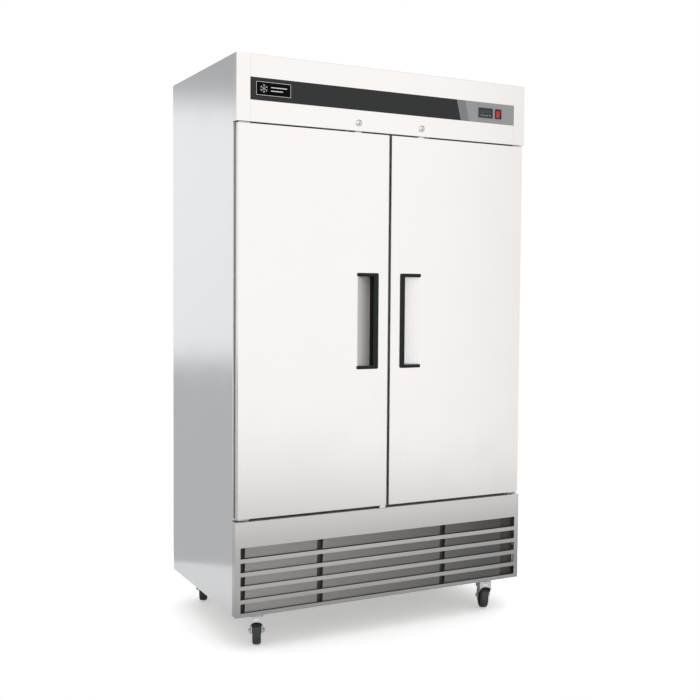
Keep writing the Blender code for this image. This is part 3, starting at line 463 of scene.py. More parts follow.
for surface_used, *endings in (
    (SIDE_STEEL, "side_panel"),
    (DOOR_STEEL, "door_skin", "header_frame", "header_fascia"),
    (GRILLE_STEEL_PAINTED_SHADE, "louver_grille"),
    (FRAME_STEEL, "front_frame"),
    (GALVANISED, "rear_panel", "top_panel", "fan_motor"),
    (FOAM, "cabinet_insulation"),
    (LINER, "interior_liner", "center_mullion", "evaporator_cover", "condensate_pan", "inner_panel"),
    (STRIP, "header_strip"),
    (DARK_PLASTIC, "temperature_controller", "fan_blade"),
    (HANDLE_PLASTIC, "switch_housing", "door_handle"),
    (ROCKER_RED, "power_rocker"),
    (DARK_PAINT, "base_frame"),
    (BLACK_PAINT, "compressor"),
    (ALUMINIUM, "coil"),
    (COPPER, "refrigerant_line"),
    (LAMP_LENS, "interior_lamp"),
    (CHROME, "lock_plug"),
    (RUBBER, "door_gasket"),
    (ZINC, "pilaster", "hinge_bracket", "caster_fork"),
    (WHEEL_RUBBER, "caster_wheel"),
    (WIRE_COAT, "shelf_1", "shelf_2", "shelf_3"),
):
    for name, part in NODES.items():
        if name.endswith(tuple(endings)):
            part.data.materials.clear()
            part.data.materials.append(surface_used)


# Stage


def make_camera():
    """A camera at the left of the doors, a little above the handles."""
    ahead = Vector((
        math.sin(CAMERA_YAW) * math.cos(CAMERA_PITCH),
        math.cos(CAMERA_YAW) * math.cos(CAMERA_PITCH),
        math.sin(CAMERA_PITCH),
    ))
    level = Vector((math.cos(CAMERA_YAW), -math.sin(CAMERA_YAW), 0))
    above = level.cross(ahead)
    across = level * math.cos(CAMERA_ROLL) + above * math.sin(CAMERA_ROLL)
    upward = above * math.cos(CAMERA_ROLL) - level * math.sin(CAMERA_ROLL)
    data = bpy.data.cameras.new("camera")
    data.lens = CAMERA_LENS
    data.shift_x, data.shift_y = CAMERA_SHIFT
    camera = linked("camera", data)
    turn = Matrix((across, upward, -ahead)).transposed().to_4x4()
    camera.matrix_world = Matrix.Translation(CAMERA_AT) @ turn
    bpy.context.scene.camera = camera


def sky_ramp(tree, height, stops):
    """Studio brightness by height of view, each stop a (sine of elevation, grey level, warmth)."""
    ramp = tree.nodes.new("ShaderNodeValToRGB")
    ramp.color_ramp.interpolation = "EASE"
    elements = ramp.color_ramp.elements
    elements.remove(elements[-1])
    for i, (sine, level, warmth) in enumerate(stops):
        spot = elements.new(sine / 2 + 0.5) if i else elements[0]
        spot.position = sine / 2 + 0.5
        spot.color = (level * (1 + warmth), level, level * (1 - warmth), 1)
    tree.links.new(height, ramp.inputs["Fac"])
    return ramp.outputs["Color"]


def make_world():
    """A soft white studio: bright in front and overhead, with a grey ceiling edge and floor line behind."""
    world = bpy.data.worlds.new("studio")
    bpy.context.scene.world = world
    world.use_nodes = True
    tree = world.node_tree
    place = axes(tree, shader_node(tree, "TexCoord", {})["Generated"])
    half_height = spread(tree, place["Z"], 0.0, 1.0, -1.0, 1.0)
    front = sky_ramp(tree, half_height, (
        (-1.0, 0.20, 0), (-0.30, 0.20, 0), (-0.235, 0.29, 0.008), (-0.155, 0.56, 0.012),
        (0.35, 0.565, 0.012), (0.60, 0.55, 0), (1.0, 0.55, 0),
    ))
    behind = sky_ramp(tree, half_height, (
        (-1.0, 0.26, -0.012), (-0.085, 0.255, -0.012), (-0.055, 0.47, -0.008), (0.148, 0.485, -0.008),
        (0.178, 0.23, -0.012), (0.45, 0.26, 0), (0.75, 0.55, 0), (1.0, 0.55, 0),
    ))
    turn = spread(tree, place["Y"], 0.0, 1.0, -0.2, 0.2)
    fade = spread(tree, place["X"], 1.0, 0.78, 0.51, 0.62)
    faded = shader_node(tree, "VectorMath", {0: front, "Scale": fade}, operation="SCALE")[0]
    room = shader_node(tree, "Mix", {0: turn, 6: faded, 7: behind}, data_type="RGBA")[2]
    lit = tree.nodes["Background"]
    lit.inputs["Strength"].default_value = 2.0
    tree.links.new(room, lit.inputs["Color"])
    white = shader_node(tree, "Background", {"Color": (1, 1, 1, 1)})[0]
    seen = shader_node(tree, "LightPath", {})["Is Camera Ray"]
    shown = shader_node(tree, "MixShader", {0: seen, 1: lit.outputs[0], 2: white})[0]
    tree.links.new(shown, tree.nodes["World Output"].inputs["Surface"])


def make_overhead():
    """A soft square light over the cabinet."""
    data = bpy.data.lights.new("overhead", "AREA")
    data.shape = "RECTANGLE"
    data.size = data.size_y = 3.2
    data.energy = 14
    light = linked("overhead", data)
    light.location = (0.4, -0.6, 4.6)
    light.rotation_mode = "QUATERNION"
    light.rotation_quaternion = (-light.location).to_track_quat("-Z", "Y")


def make_floor():
    """A pale round floor, which glows for the camera only."""
    pale = surface("pale_floor", (0.84, 0.84, 0.84), 0.60, scale=3, vary=0.01, bump=0.0,
                   Emission_Color=(1, 1, 1, 1))
    tree = pale.node_tree
    seen = shader_node(tree, "LightPath", {})["Is Camera Ray"]
    glow = shader_node(tree, "Math", {0: seen, 1: FLOOR_GLOW}, operation="MULTIPLY")[0]
    tree.links.new(glow, tree.nodes["Principled BSDF"].inputs["Emission Strength"])
    shape = bmesh.new()
    bmesh.ops.create_circle(shape, cap_ends=True, segments=96, radius=FLOOR_RADIUS)
    linked("floor", mesh_of("floor", shape, pale))


make_camera()
make_world()
make_floor()
make_overhead()
bpy.context.scene.view_settings.view_transform = "Standard"


# Sheet-metal edges of the CAD nodes


for node_name, width in (
    ("left_side_panel", 0.0005), ("right_side_panel", 0.0005), ("left_door_skin", 0.0010),
    ("right_door_skin", 0.0010), ("header_frame", 0.0005), ("header_fascia", 0.0004),
    ("front_frame", 0.0008), ("top_panel", 0.0004),
):
    bevel(NODES[node_name], width, 2, 40)


# Repeated hardware


def sheet_with_holes(shape, across, up, start, end, holes, axis="Y"):
    """A plate between two planes, in cells between the lines across and up. holes are its empty cells."""
    columns, rows = len(across) - 1, len(up) - 1

    def solid(i, j):
        return 0 <= i < columns and 0 <= j < rows and (i, j) not in holes

    def quad(*spots):
        shape.faces.new([shape.verts.new(spot) for spot in spots])

    for i in range(columns):
        for j in range(rows):
            if not solid(i, j):
                continue
            corners = rectangle(across[i], up[j], across[i + 1], up[j + 1])
            quad(*[lay(p, start, axis) for p in corners])
            quad(*[lay(p, end, axis) for p in corners])
            for k, (di, dj) in enumerate(((0, -1), (1, 0), (0, 1), (-1, 0))):
                if not solid(i + di, j + dj):
                    a, b = corners[k], corners[(k + 1) % 4]
                    quad(lay(a, start, axis), lay(b, start, axis), lay(b, end, axis), lay(a, end, axis))


def screws(name, places, body, turn, radius=0.0042):
    """Pan-head screws with round sockets. Their heads point up, turned about X by so many degrees."""
    height = radius * 0.5
    profile = [(radius, 0), (radius, height * 0.35), (radius * 0.82, height * 0.8), (radius * 0.48, height),
               (radius * 0.42, height * 0.4), (0, height * 0.4)]
    shape = bmesh.new()
    for place in places:
        start = len(shape.verts)
        turned(shape, profile, (0, 0, 0), "Z", 16)
        moved(shape, Matrix.Translation(place) @ Matrix.Rotation(math.radians(turn), 4, "X"), start)
    add(name, shape, ZINC, body, smooth_under=50)


# Doors


def make_handle(side, side_name):
    """A moulded C frame with rounded corners, and the wall that lines the pocket under its bar."""
    node = f"{side_name}_door_handle"
    low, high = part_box(node)
    near, far = (high.x, low.x) if side < 0 else (low.x, high.x)
    proud, bottom, top = low.y, low.z, high.z
    bar = near + side * 0.019
    arm = 0.013
    corners = [
        (far, bottom), (near, bottom), (near, top), (far, top),
        (far, top - arm), (bar, top - arm), (bar, bottom + arm), (far, bottom + arm),
    ]
    outline = rounded(corners, [0.004, 0.006, 0.006, 0.004, 0.004, 0.002, 0.002, 0.004], 5)
    shape = bmesh.new()
    plate(shape, outline, proud, FRONT - 0.0003, "Y", 0.0022)
    add(f"{side_name}_grip_frame", shape, HANDLE_PLASTIC, f"{side_name}_door", [node])
    # The wall's black is painted shade, darker and duller than the frame's plastic.
    wall = ((near + side * 0.0123, FRONT - 0.0002, bottom + 0.0072),
            (near + side * 0.0168, high.y, top - 0.0072))
    blocks(f"{side_name}_grip_wall", WALL_PAINTED_SHADE_BLACK, [wall], 0.0006, f"{side_name}_door")


def make_pocket_lining(side, side_name):
    """The satin lining on the ramp and the floor of the handle's pocket, whiter than the door steel as
    painted light.
    """
    low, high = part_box(f"{side_name}_door_handle")
    near = high.x if side < 0 else low.x
    skin = 0.0004
    deep = high.y - skin
    start = near + side * 0.0168
    path = [(start, deep), (near + side * 0.0236, deep), (near + side * 0.0838, FRONT + 0.0006)]
    outline = path + [(x, y - skin) for x, y in reversed(path)]
    shape = bmesh.new()
    loft(shape, [[(x, y, z) for x, y in outline] for z in (low.z + 0.0070, high.z - 0.0070)])
    add(f"{side_name}_pocket_lining", shape, POCKET_STEEL_PAINTED_LIGHT, f"{side_name}_door")


def make_gasket(side_name):
    """A magnetic gasket: a base, a folded bellows and a magnet pocket, mitred at its corners."""
    node = f"{side_name}_door_gasket"
    low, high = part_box(node)
    front, back = low.y, high.y
    fold = [front + (back - front) * part for part in (0.20, 0.34, 0.48, 0.50, 0.62)]
    profile = [
        (0.002, front), (0.001, fold[0]), (0.004, fold[1]), (0.0015, fold[2]), (0.000, fold[4]),
        (0.001, back - 0.0006), (0.003, back), (0.016, back), (0.018, back - 0.0006),
        (0.019, fold[4]), (0.0165, fold[3]), (0.0185, fold[1]), (0.0215, fold[0]), (0.0205, front),
    ]
    shape = bmesh.new()
    mitred_ring(shape, (low.x, low.z), (high.x, high.z), profile)
    add(f"{side_name}_magnetic_gasket", shape, RUBBER, f"{side_name}_door", [node], 25)


def make_door_lining(side, side_name):
    """The formed white lining of the door's back: a raised border round a flat field, and its screws."""
    x0, x1 = sorted((side * 0.0505, side * 0.5250))
    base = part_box(f"{side_name}_door_inner_panel")[1].y + 0.0003
    border, rise = 0.045, 0.0040
    profile = [(0.001, base), (0.001, base + rise - 0.0012), (0.0022, base + rise),
               (border - 0.006, base + rise), (border, base + 0.0012), (border + 0.002, base + 0.0012)]
    rings = []
    for inset, y in profile:
        corners = rectangle(x0 + inset, LINING_BOTTOM + inset, x1 - inset, LINING_TOP - inset)
        rings.append([(x, y, z) for x, z in rounded(corners, max(0.020 - inset, 0.008), 5)])
    shape = bmesh.new()
    loft(shape, rings)
    add(f"{side_name}_door_lining", shape, LINER, f"{side_name}_door", smooth_under=50)
    inset = 0.022
    across = (x0 + inset, (x0 + x1) / 2, x1 - inset)
    places = [(x, z) for x in across for z in (LINING_BOTTOM + inset, LINING_TOP - inset)]
    places += [(x, z) for z in (0.85, 1.1665, 1.48) for x in (across[0], across[2])]
    places = [(x, base + rise, z) for x, z in places]
    screws(f"{side_name}_lining_screws", places, f"{side_name}_door", -90)


def make_lock(side, side_name):
    """A key lock: the CAD plug turns inside a fixed collar. It has a key slot, and a keeper on the door."""
    node = f"{side_name}_lock_plug"
    low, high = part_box(node)
    x, z, front, face = side * LOCK_X, LOCK_Z, low.y, low.y + 0.0006
    collar = bmesh.new()
    profile = [(0.0104, FRONT), (0.0128, FRONT), (0.0128, front + 0.0010), (0.0118, front),
               (0.0104, front + 0.0004)]
    turned(collar, [(r, -y) for r, y in profile], (x, 0, z), "Y", 40, close=True)
    add(f"{side_name}_lock_collar", collar, CHROME, "root", smooth_under=40)
    plug = bmesh.new()
    profile = [(0, face), (0.0066, face), (0.0072, face + 0.0005), (0.0088, face + 0.0005),
               (0.0094, face + 0.0011), (0.0094, high.y), (0, high.y)]
    turned(plug, [(r, -y) for r, y in profile], (x, 0, z), "Y", 40)
    box(plug, (x - side * 0.005, CAM_Y, z - 0.005), (x + side * 0.043, CAM_Y + 0.003, z + 0.005), 0.0008)
    add(f"{side_name}_lock_cylinder", plug, CHROME, f"{side_name}_lock", [node], 40)
    key = bmesh.new()
    outline = rounded(rectangle(x - 0.0009, z - 0.0042, x + 0.0009, z + 0.0042), 0.0008, 3)
    plate(key, outline, face - 0.0001, face - 0.0005)
    add(f"{side_name}_key_slot", key, BLACK_PAINT, f"{side_name}_lock")
    keeper = ((x - 0.012, FRONT + 0.0025, DOOR_TOP + 0.0002), (x + 0.012, FRONT + 0.0135, DOOR_TOP + 0.0046))
    blocks(f"{side_name}_lock_keeper", NYLON, [keeper], 0.0008, f"{side_name}_door")


def make_hinge_screws(side, side_name):
    """The screws of the hinge brackets, and the bushes that the doors turn on."""
    pin_x = side * HINGE_X
    profile = [(0.0047, 0.0001), (0.0085, 0.0001), (0.0085, 0.0009), (0.0078, 0.0012), (0.0047, 0.0012)]
    for place, seam, up in (("upper", DOOR_TOP, 1), ("lower", DOOR_BOTTOM, -1)):
        bush = bmesh.new()
        turned(bush, [(r, up * h) for r, h in profile], (pin_x, HINGE_Y, seam), "Z", 24, close=True)
        add(f"{side_name}_{place}_hinge_bush", bush, NYLON, f"{side_name}_door")
        places = [(pin_x - side * dx, FACE - 0.0036, seam + up * 0.030) for dx in (0.000, 0.020)]
        screws(f"{side_name}_{place}_hinge_screws", places, "root", 90, 0.0036)


# Header and controls


def make_nameplate():
    """A small black plate with a thin rim, a snowflake and two plain bars."""
    x0, z0, x1, z1 = NAMEPLATE
    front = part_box("header_strip")[0].y
    backing = bmesh.new()
    plate(backing, rounded(rectangle(*NAMEPLATE), 0.0015, 3), front - 0.0011, front - 0.0001, "Y", 0.0003)
    add("nameplate", backing, PLATE_BLACK, "root")
    trim = bmesh.new()
    face = front - 0.0012
    proud = face - 0.0004
    mitred_ring(trim, (x0 + 0.0016, z0 + 0.0016), (x1 - 0.0016, z1 - 0.0016),
                [(0, face), (0, proud), (0.0014, proud), (0.0014, face)], 0.001, 2)
    middle = Vector((x0 + 0.030, 0, (z0 + z1) / 2))
    twigs = (((0, 0), (0, 0.0145), 0.0011), ((0, 0.009), (0.0040, 0.0130), 0.0009),
             ((0, 0.009), (-0.0040, 0.0130), 0.0009))
    for k in range(6):
        turn = Matrix.Rotation(math.radians(60 * k), 4, "Y")
        for start, end, width in twigs:
            a, b = Vector((start[0], 0, start[1])), Vector((end[0], 0, end[1]))
            along = (b - a).normalized()
            half = Vector((along.z, 0, -along.x)) * (width / 2)
            placed = [turn @ p + middle for p in (a - half, b - half, b + half, a + half)]
            loft(trim, [[(p.x, y, p.z) for p in placed] for y in (face, proud)])
    for bar_z, reach in ((middle.z + 0.006, 0.060), (middle.z - 0.006, 0.045)):
        bar = rectangle(x0 + 0.056, bar_z - 0.0016, x0 + 0.056 + reach, bar_z + 0.0016)
        plate(trim, rounded(bar, 0.0014, 3), proud, face)
    add("nameplate_emblem", trim, PLATE_SILVER, "root")


def make_controls():
    """The controller's bezel, dark display and keys, and the rocker switch in its own bezel."""
    low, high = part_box("temperature_controller")
    x, z = (low.x + high.x) / 2, (low.z + high.z) / 2
    seat = low.y + 0.002
    bezel = bmesh.new()
    profile = [(0.0, seat), (0.0, low.y + 0.0008), (0.0008, low.y), (0.0035, low.y),
               (0.0055, low.y + 0.0010), (0.0055, seat)]
    mitred_ring(bezel, (low.x, low.z), (high.x, high.z), profile, 0.0030)
    inner = rectangle(low.x + 0.0057, low.z + 0.0057, high.x - 0.0057, high.z - 0.0057)
    plate(bezel, rounded(inner, 0.001, 2), seat - 0.0008, seat)
    box(bezel, (low.x + 0.0035, seat + 0.0002, low.z + 0.0035), (high.x - 0.0035, high.y, high.z - 0.0035),
        0.001)
    add("controller_case", bezel, DARK_PLASTIC, "root", ["temperature_controller"])
    glass = bmesh.new()
    pane = rounded(rectangle(x - 0.0245, z - 0.0060, x + 0.0245, z + 0.0120), 0.0015, 3)
    plate(glass, pane, seat - 0.0013, seat - 0.0009, "Y", 0.0002)
    add("controller_display", glass, DARK_GLASS, "root")
    keys = bmesh.new()
    for i in range(4):
        key_x = x - 0.0195 + 0.013 * i
        outline = rounded(rectangle(key_x - 0.0042, z - 0.0118, key_x + 0.0042, z - 0.0080), 0.0016)
        plate(keys, outline, seat - 0.0017, seat - 0.0009, "Y", 0.0004)
    add("controller_keys", keys, BUTTON_GREY, "root")

    low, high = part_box("switch_housing")
    bezel = bmesh.new()
    profile = [(0.0, low.y + 0.002), (0.0, low.y + 0.0007), (0.0007, low.y), (0.0032, low.y),
               (0.0042, low.y + 0.0008), (0.0042, high.y), (0.0030, high.y), (0.0030, low.y + 0.002)]
    mitred_ring(bezel, (low.x, low.z), (high.x, high.z), profile, 0.0020, 3)
    add("switch_bezel", bezel, HANDLE_PLASTIC, "root", ["switch_housing"])
    bevel(NODES["power_rocker"], 0.0006, 2, 40)


def make_seams():
    """The dark grey seals in the seams above and below the doors, lighter than the gasket rubber as painted
    light against the seams' shade, and the pad beside the middle seam.
    """
    for name, low_z, high_z, gaps in (
        ("lower_seam_seal", GRILLE_TOP + 0.0001, GRILLE_TOP + 0.0012, ((-0.544, 0.544),)),
        ("upper_seam_seal", HEADER_BOTTOM - 0.0014, HEADER_BOTTOM - 0.0002,
         ((-0.544, -0.176), (-0.119, 0.119), (0.176, 0.544))),
    ):
        corners = [((x0, FRONT + 0.003, low_z), (x1, FACE - 0.002, high_z)) for x0, x1 in gaps]
        blocks(name, SEAL_PAINTED_LIGHT_GREY, corners, 0.0003)
    pad = ((-0.030, FRONT + 0.0015, GRILLE_TOP + 0.0013), (-0.008, FRONT + 0.012, DOOR_BOTTOM - 0.0008))
    blocks("middle_seam_pad", NYLON, [pad], 0.0008)


# Lower grille


def make_grille():
    """The grille: a panel with five slots, a blade folded down and inward from each, and a dark sheet behind
    them as painted shade.
    """
    low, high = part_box("louver_grille")
    sheet = 0.0012
    stile = 0.018
    tops = [SLOT_TOP - i * SLOT_PITCH - (SLOT_HEIGHTS[0] - SLOT_HEIGHTS[i]) for i in range(5)]
    up = [low.z]
    for slot_top, height in reversed(list(zip(tops, SLOT_HEIGHTS))):
        up += [slot_top - height, slot_top]
    up.append(high.z)
    across = [low.x, low.x + stile, high.x - stile, high.x]
    shape = bmesh.new()
    sheet_with_holes(shape, across, up, low.y, low.y + sheet, {(1, 1 + 2 * i) for i in range(5)})
    back = low.y + sheet + 0.0001
    inset = sheet + 0.0001
    for x in (low.x, high.x - sheet):
        box(shape, (x, back, low.z), (x + sheet, high.y, high.z))
    for z in (low.z, high.z - sheet):
        box(shape, (low.x + inset, back, z), (high.x - inset, low.y + 0.017, z + sheet))
    panel = add("grille_panel", shape, GRILLE_STEEL_PAINTED_SHADE, "root", ["louver_grille"])
    bevel(panel, 0.0005, 2, 40)

    blades = bmesh.new()
    spans = [(rib[1] + 0.0005, after[0] - 0.0005) for rib, after in zip(RIB_SPANS, RIB_SPANS[1:])]
    for slot_top in tops:
        outer = [(low.y + 0.0013, slot_top + 0.004), (low.y + 0.0013, slot_top),
                 (low.y + 0.0017, slot_top - 0.0022), (low.y + BLADE_RUN, slot_top - BLADE_DROP)]
        inner = [(y + 0.0007, z + 0.0001) for y, z in reversed(outer)]
        for start, end in spans:
            loft(blades, [[(x, y, z) for y, z in outer + inner] for x in (start, end)])
    add("grille_blades", blades, BLADE_STEEL_PAINTED_SHADE, "root", smooth_under=50)
    # Painted shade: a dark sheet between the ribs, behind the blades, standing in for the shade inside the
    # machine bay.
    shade_backing = [((a, low.y + 0.0185, low.z + 0.004), (b, low.y + 0.0200, 0.398)) for a, b in spans]
    blocks("grille_shade_backing", DARK_PAINT, shade_backing)


# Casters


def make_caster(name):
    """A swivel caster: a stamped fork, a ball race, a thread guard and a wheel with a crowned tread."""
    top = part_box(f"{name}_caster_fork")[1].z
    pivot, axle = (Vector(JOINTS[f"{name}_{joint}"]["pos_m"]) for joint in ("swivel", "wheel_spin"))
    heading = math.atan2(pivot.x - axle.x, axle.y - pivot.y)
    trail = math.hypot(axle.x - pivot.x, axle.y - pivot.y)
    put = Matrix.Translation((pivot.x, pivot.y, 0)) @ Matrix.Rotation(heading, 4, "Z")
    put_wheel = put @ Matrix.Translation((0, trail, WHEEL_RADIUS))
    half, sheet = 0.023, 0.0025

    def hung(*pairs):
        return [(radius, top - drop) for radius, drop in pairs]

    fork = bmesh.new()
    leg = rounded([(-0.027, 0.086), (-0.027, top - 0.012), (0.022, top - 0.012), (trail + 0.014, 0.056),
                   (trail + 0.009, 0.040), (trail - 0.009, 0.040), (trail - 0.015, 0.056)],
                  [0.004, 0.003, 0.006, 0.010, 0.006, 0.006, 0.010])
    for side in (-1, 1):
        loft(fork, [[(x, y, z) for y, z in leg] for x in (side * half, side * (half - sheet))])
    inside = half - sheet - 0.0001
    face = [(-inside, 0.092), *hung((-inside, 0.0125), (inside, 0.0125)), (inside, 0.092)]
    face += [(inside * math.cos(math.radians(a)) * 0.92, 0.088 + 0.008 * math.sin(math.radians(a)))
             for a in range(0, 181, 20)]
    loft(fork, [[(x, y, z) for x, z in face] for y in (-0.027, -0.0245)])
    box(fork, (-inside, -0.0244, top - 0.0125), (inside, 0.024, top - 0.0085), 0.0008)
    race = hung((0.0, 0.0084), (0.0275, 0.0084), (0.0290, 0.0065), (0.0290, 0.0045), (0.0270, 0.0030),
                (0.0295, 0.0018), (0.0295, 0.0002), (0, 0.0002))
    turned(fork, race, (0, 0, 0), "Z", 36)
    nut = hung((0, 0.0165), (0.0055, 0.0165), (0.0065, 0.0150), (0.0065, 0.0126), (0, 0.0126))
    turned(fork, nut, (0, 0, 0), "Z", 6)
    nut = [(0.0, 0.0), (0.0072, 0.0), (0.0072, 0.0042), (0.0060, 0.0052), (0.0038, 0.0052), (0.0038, 0.0066),
           (0.0030, 0.0072), (0, 0.0072)]
    for side in (-1, 1):
        turned(fork, [(r, side * (half + h)) for r, h in nut], (0, trail, WHEEL_RADIUS), "X",
               6 if side > 0 else 24)
    moved(fork, put)
    add(f"{name}_stamped_fork", fork, ZINC, f"{name}_fork", [f"{name}_caster_fork"], 30)

    # A white oval plate on the front face of the fork.
    white_oval = bmesh.new()
    plate(white_oval, rounded(rectangle(-0.0095, 0.1025, 0.0095, 0.1090), 0.0030, 5), -0.0272, -0.0276)
    moved(white_oval, put)
    add(f"{name}_fork_white_oval", white_oval, NYLON, f"{name}_fork")

    guard = bmesh.new()
    rim = WHEEL_RADIUS + 0.0045
    angles = [math.radians(a) for a in range(28, 153, 8)]
    outline = [(rim, a) for a in angles] + [(rim * 0.955, a) for a in reversed(angles)]
    outline = [(trail + r * math.cos(a), min(WHEEL_RADIUS + r * math.sin(a), top - 0.0175))
               for r, a in outline]
    loft(guard, [[(x, y, z) for y, z in outline] for x in (-0.0195, 0.0195)])
    moved(guard, put)
    add(f"{name}_thread_guard", guard, BLACK_PAINT, f"{name}_fork", smooth_under=40)

    wheel = bmesh.new()
    tread = [(0.0365, -0.0150), (0.0430, -0.0155), (0.0470, -0.0140), (0.0492, -0.0105), (0.0499, -0.0050)]
    tread += [(WHEEL_RADIUS, 0.0)] + [(r, -h) for r, h in reversed(tread)]
    turned(wheel, tread + [(0.0360, 0.0)], (0, 0, 0), "X", 64, close=True)
    moved(wheel, put_wheel)
    add(f"{name}_tread", wheel, WHEEL_RUBBER, f"{name}_wheel", [f"{name}_caster_wheel"], 40)
    hub = bmesh.new()
    half_hub = [(0.0045, -0.0175), (0.0110, -0.0175), (0.0120, -0.0165), (0.0120, -0.0110),
                (0.0150, -0.0090), (0.0290, -0.0090), (0.0320, -0.0115), (0.0320, -0.0150),
                (0.0355, -0.0150), (0.0358, 0.0)]
    turned(hub, half_hub + [(r, -h) for r, h in reversed(half_hub[:-1])], (0, 0, 0), "X", 48, close=True)
    for k in range(5):
        start = len(hub.verts)
        box(hub, (-0.0128, 0.0125, -0.0022), (0.0128, 0.0310, 0.0022), 0.0006)
        moved(hub, Matrix.Rotation(2 * math.pi * k / 5, 4, "X"), start)
    moved(hub, put_wheel)
    add(f"{name}_hub", hub, HUB_PLASTIC, f"{name}_wheel", smooth_under=40)


# Cooling


def make_coil(node, name, rows, columns, pitch):
    """A finned coil in the node's box: thin fins between two end plates, and tubes with their bends."""
    low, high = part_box(node)
    start, end = low.x + 0.016, high.x - 0.016
    count = int((end - start) / pitch)
    fins = []
    for i in range(count + 1):
        x = start + (end - start) * i / count
        half = 0.0008 if i in (0, count) else 0.00025
        fins.append(((x - half, low.y + 0.001, low.z + 0.001), (x + half, high.y - 0.001, high.z - 0.001)))
    blocks(f"{name}_fins", ALUMINIUM, fins, replaces=[node])
    tubes = bmesh.new()
    step_y, step_z = (high.y - low.y) / columns, (high.z - low.z) / rows
    radius = 0.0045
    for j in range(columns):
        y = low.y + step_y * (j + 0.5)
        for i in range(rows):
            z = low.z + step_z * (i + 0.5)
            tube(tubes, [(start - 0.004, y, z), (end + 0.004, y, z)], radius)
            if i + 1 < rows:
                out, from_x = (-1, start) if i % 2 else (1, end)
                bulge = out * min(0.0075, step_z / 2)
                angles = [math.radians(a) for a in range(0, 181, 30)]
                bend = [(from_x + out * 0.003 + bulge * math.sin(a), y, z + step_z / 2 * (1 - math.cos(a)))
                        for a in angles]
                tube(tubes, bend, radius)
    add(f"{name}_tubes", tubes, COPPER, "root", smooth_under=60)


def make_fan(body, axis, radius, blades=5, hub=0.018, pitch=22):
    """A moulded fan: a domed hub and twisted, swept blades."""
    shape = bmesh.new()
    half = 0.0105
    profile = [(0, -half), (hub * 0.55, -half), (hub * 0.90, -half * 0.7), (hub, -half * 0.2), (hub, half),
               (hub * 0.86, half), (hub * 0.86, half * 0.6), (0, half * 0.6)]
    turned(shape, profile, (0, 0, 0), "Z", 32)
    section = ((-0.5, 0), (-0.25, 0.0007), (0.0, 0.0009), (0.25, 0.0007), (0.5, 0), (0.25, -0.0007),
               (0.0, -0.0009), (-0.25, -0.0007))
    steps = 8
    for k in range(blades):
        rings = []
        for i in range(steps + 1):
            part = i / steps
            reach = hub * 0.92 + (radius - hub * 0.92) * part
            lean = math.radians(pitch * (1.35 - 0.6 * part))
            chord = 0.030 + 0.022 * math.sin(math.pi * min(1.0, part * 0.85 + 0.1))
            if i == steps:
                chord *= 0.72
            swept = math.radians(72 * k + 14 * part)
            ring = []
            for u, thick in section:
                camber = 0.0022 * (1 - 4 * u * u)
                height = u * chord * math.sin(lean) * 0.9 + thick + camber
                angle = swept + u * chord * math.cos(lean) / reach
                ring.append((reach * math.cos(angle), reach * math.sin(angle), max(-half, min(half, height))))
            rings.append(ring)
        loft(shape, rings)
    turn = Matrix.Rotation(-math.pi / 2, 4, "X") if axis == "Y" else Matrix()
    moved(shape, Matrix.Translation(JOINTS[f"{body}_spin"]["pos_m"]) @ turn)
    add(body, shape, DARK_PLASTIC, body, [f"{body}_blade"], 45)


def make_compressor():
    """A hermetic compressor: a welded shell on a foot plate, rubber feet, a terminal box and its stubs."""
    low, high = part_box("compressor")
    x, y = (low.x + high.x) / 2, (low.y + high.y) / 2
    radius = (high.y - low.y) / 2
    base = low.z + 0.014
    height = high.z - base
    profile = ((0, 0), (0.62, 0), (0.86, 0.08), (0.95, 0.20), (0.95, 0.50), (1, 0.51), (1, 0.55),
               (0.93, 0.57), (0.92, 0.76), (0.82, 0.90), (0.58, 0.98), (0.25, 1), (0, 1))
    shell = bmesh.new()
    turned(shell, [(radius * r, base + height * h) for r, h in profile], (x, y, 0), "Z", 56)
    box(shell, (low.x, y - 0.045, low.z + 0.008), (high.x, y + 0.045, low.z + 0.012), 0.001)
    box(shell, (x - radius - 0.020, y - 0.030, base + 0.050), (x - radius * 0.80, y + 0.030, base + 0.115),
        0.004)
    add("compressor_shell", shell, BLACK_PAINT, "root", ["compressor"], 40)
    feet = bmesh.new()
    rubber = ((0, 0.0002), (0.011, 0.0002), (0.012, 0.004), (0.0095, 0.0079), (0, 0.0079))
    nut = ((0, 0.0121), (0.007, 0.0121), (0.007, 0.018), (0, 0.018))
    for foot_x in (low.x + 0.014, high.x - 0.014):
        for foot_y in (y - 0.030, y + 0.030):
            for profile, sides in ((rubber, 20), (nut, 6)):
                turned(feet, [(r, low.z + h) for r, h in profile], (foot_x, foot_y, 0), "Z", sides)
    add("compressor_feet", feet, RUBBER, "root")
    stubs = bmesh.new()
    for dx, dy, reach in ((0.035, -0.030, 0.030), (-0.030, -0.038, 0.042)):
        start = Vector((x + dx, y + dy, base + height * 0.80))
        path = ((0, 0, 0), (0, 0, 0.020), (0.006, -0.004, 0.026), (reach, -0.008, 0.027))
        tube(stubs, [start + Vector(step) for step in path], 0.0045, 10)
    add("compressor_stubs", stubs, COPPER, "root", smooth_under=60)


def make_fan_guard():
    """A wire guard below the evaporator fan: rings joined by spokes."""
    x, y, _ = JOINTS["evaporator_fan_spin"]["pos_m"]
    wire = 0.0011
    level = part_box("evaporator_cover")[0].z - wire - 0.0004
    guard = bmesh.new()

    def spot(radius, degrees, z):
        angle = math.radians(degrees)
        return (x + radius * math.cos(angle), y + radius * math.sin(angle), z)

    for radius in (0.024, 0.040, 0.056, 0.072, 0.088):
        tube(guard, [spot(radius, 10 * k, level) for k in range(36)], wire, 6, closed=True)
    for k in range(6):
        tube(guard, [spot(radius, 60 * k + 15, level - 0.0016) for radius in (0.020, 0.091)], wire, 6)
    add("evaporator_fan_guard", guard, WIRE_COAT, "root", smooth_under=60)


# Cabinet interior


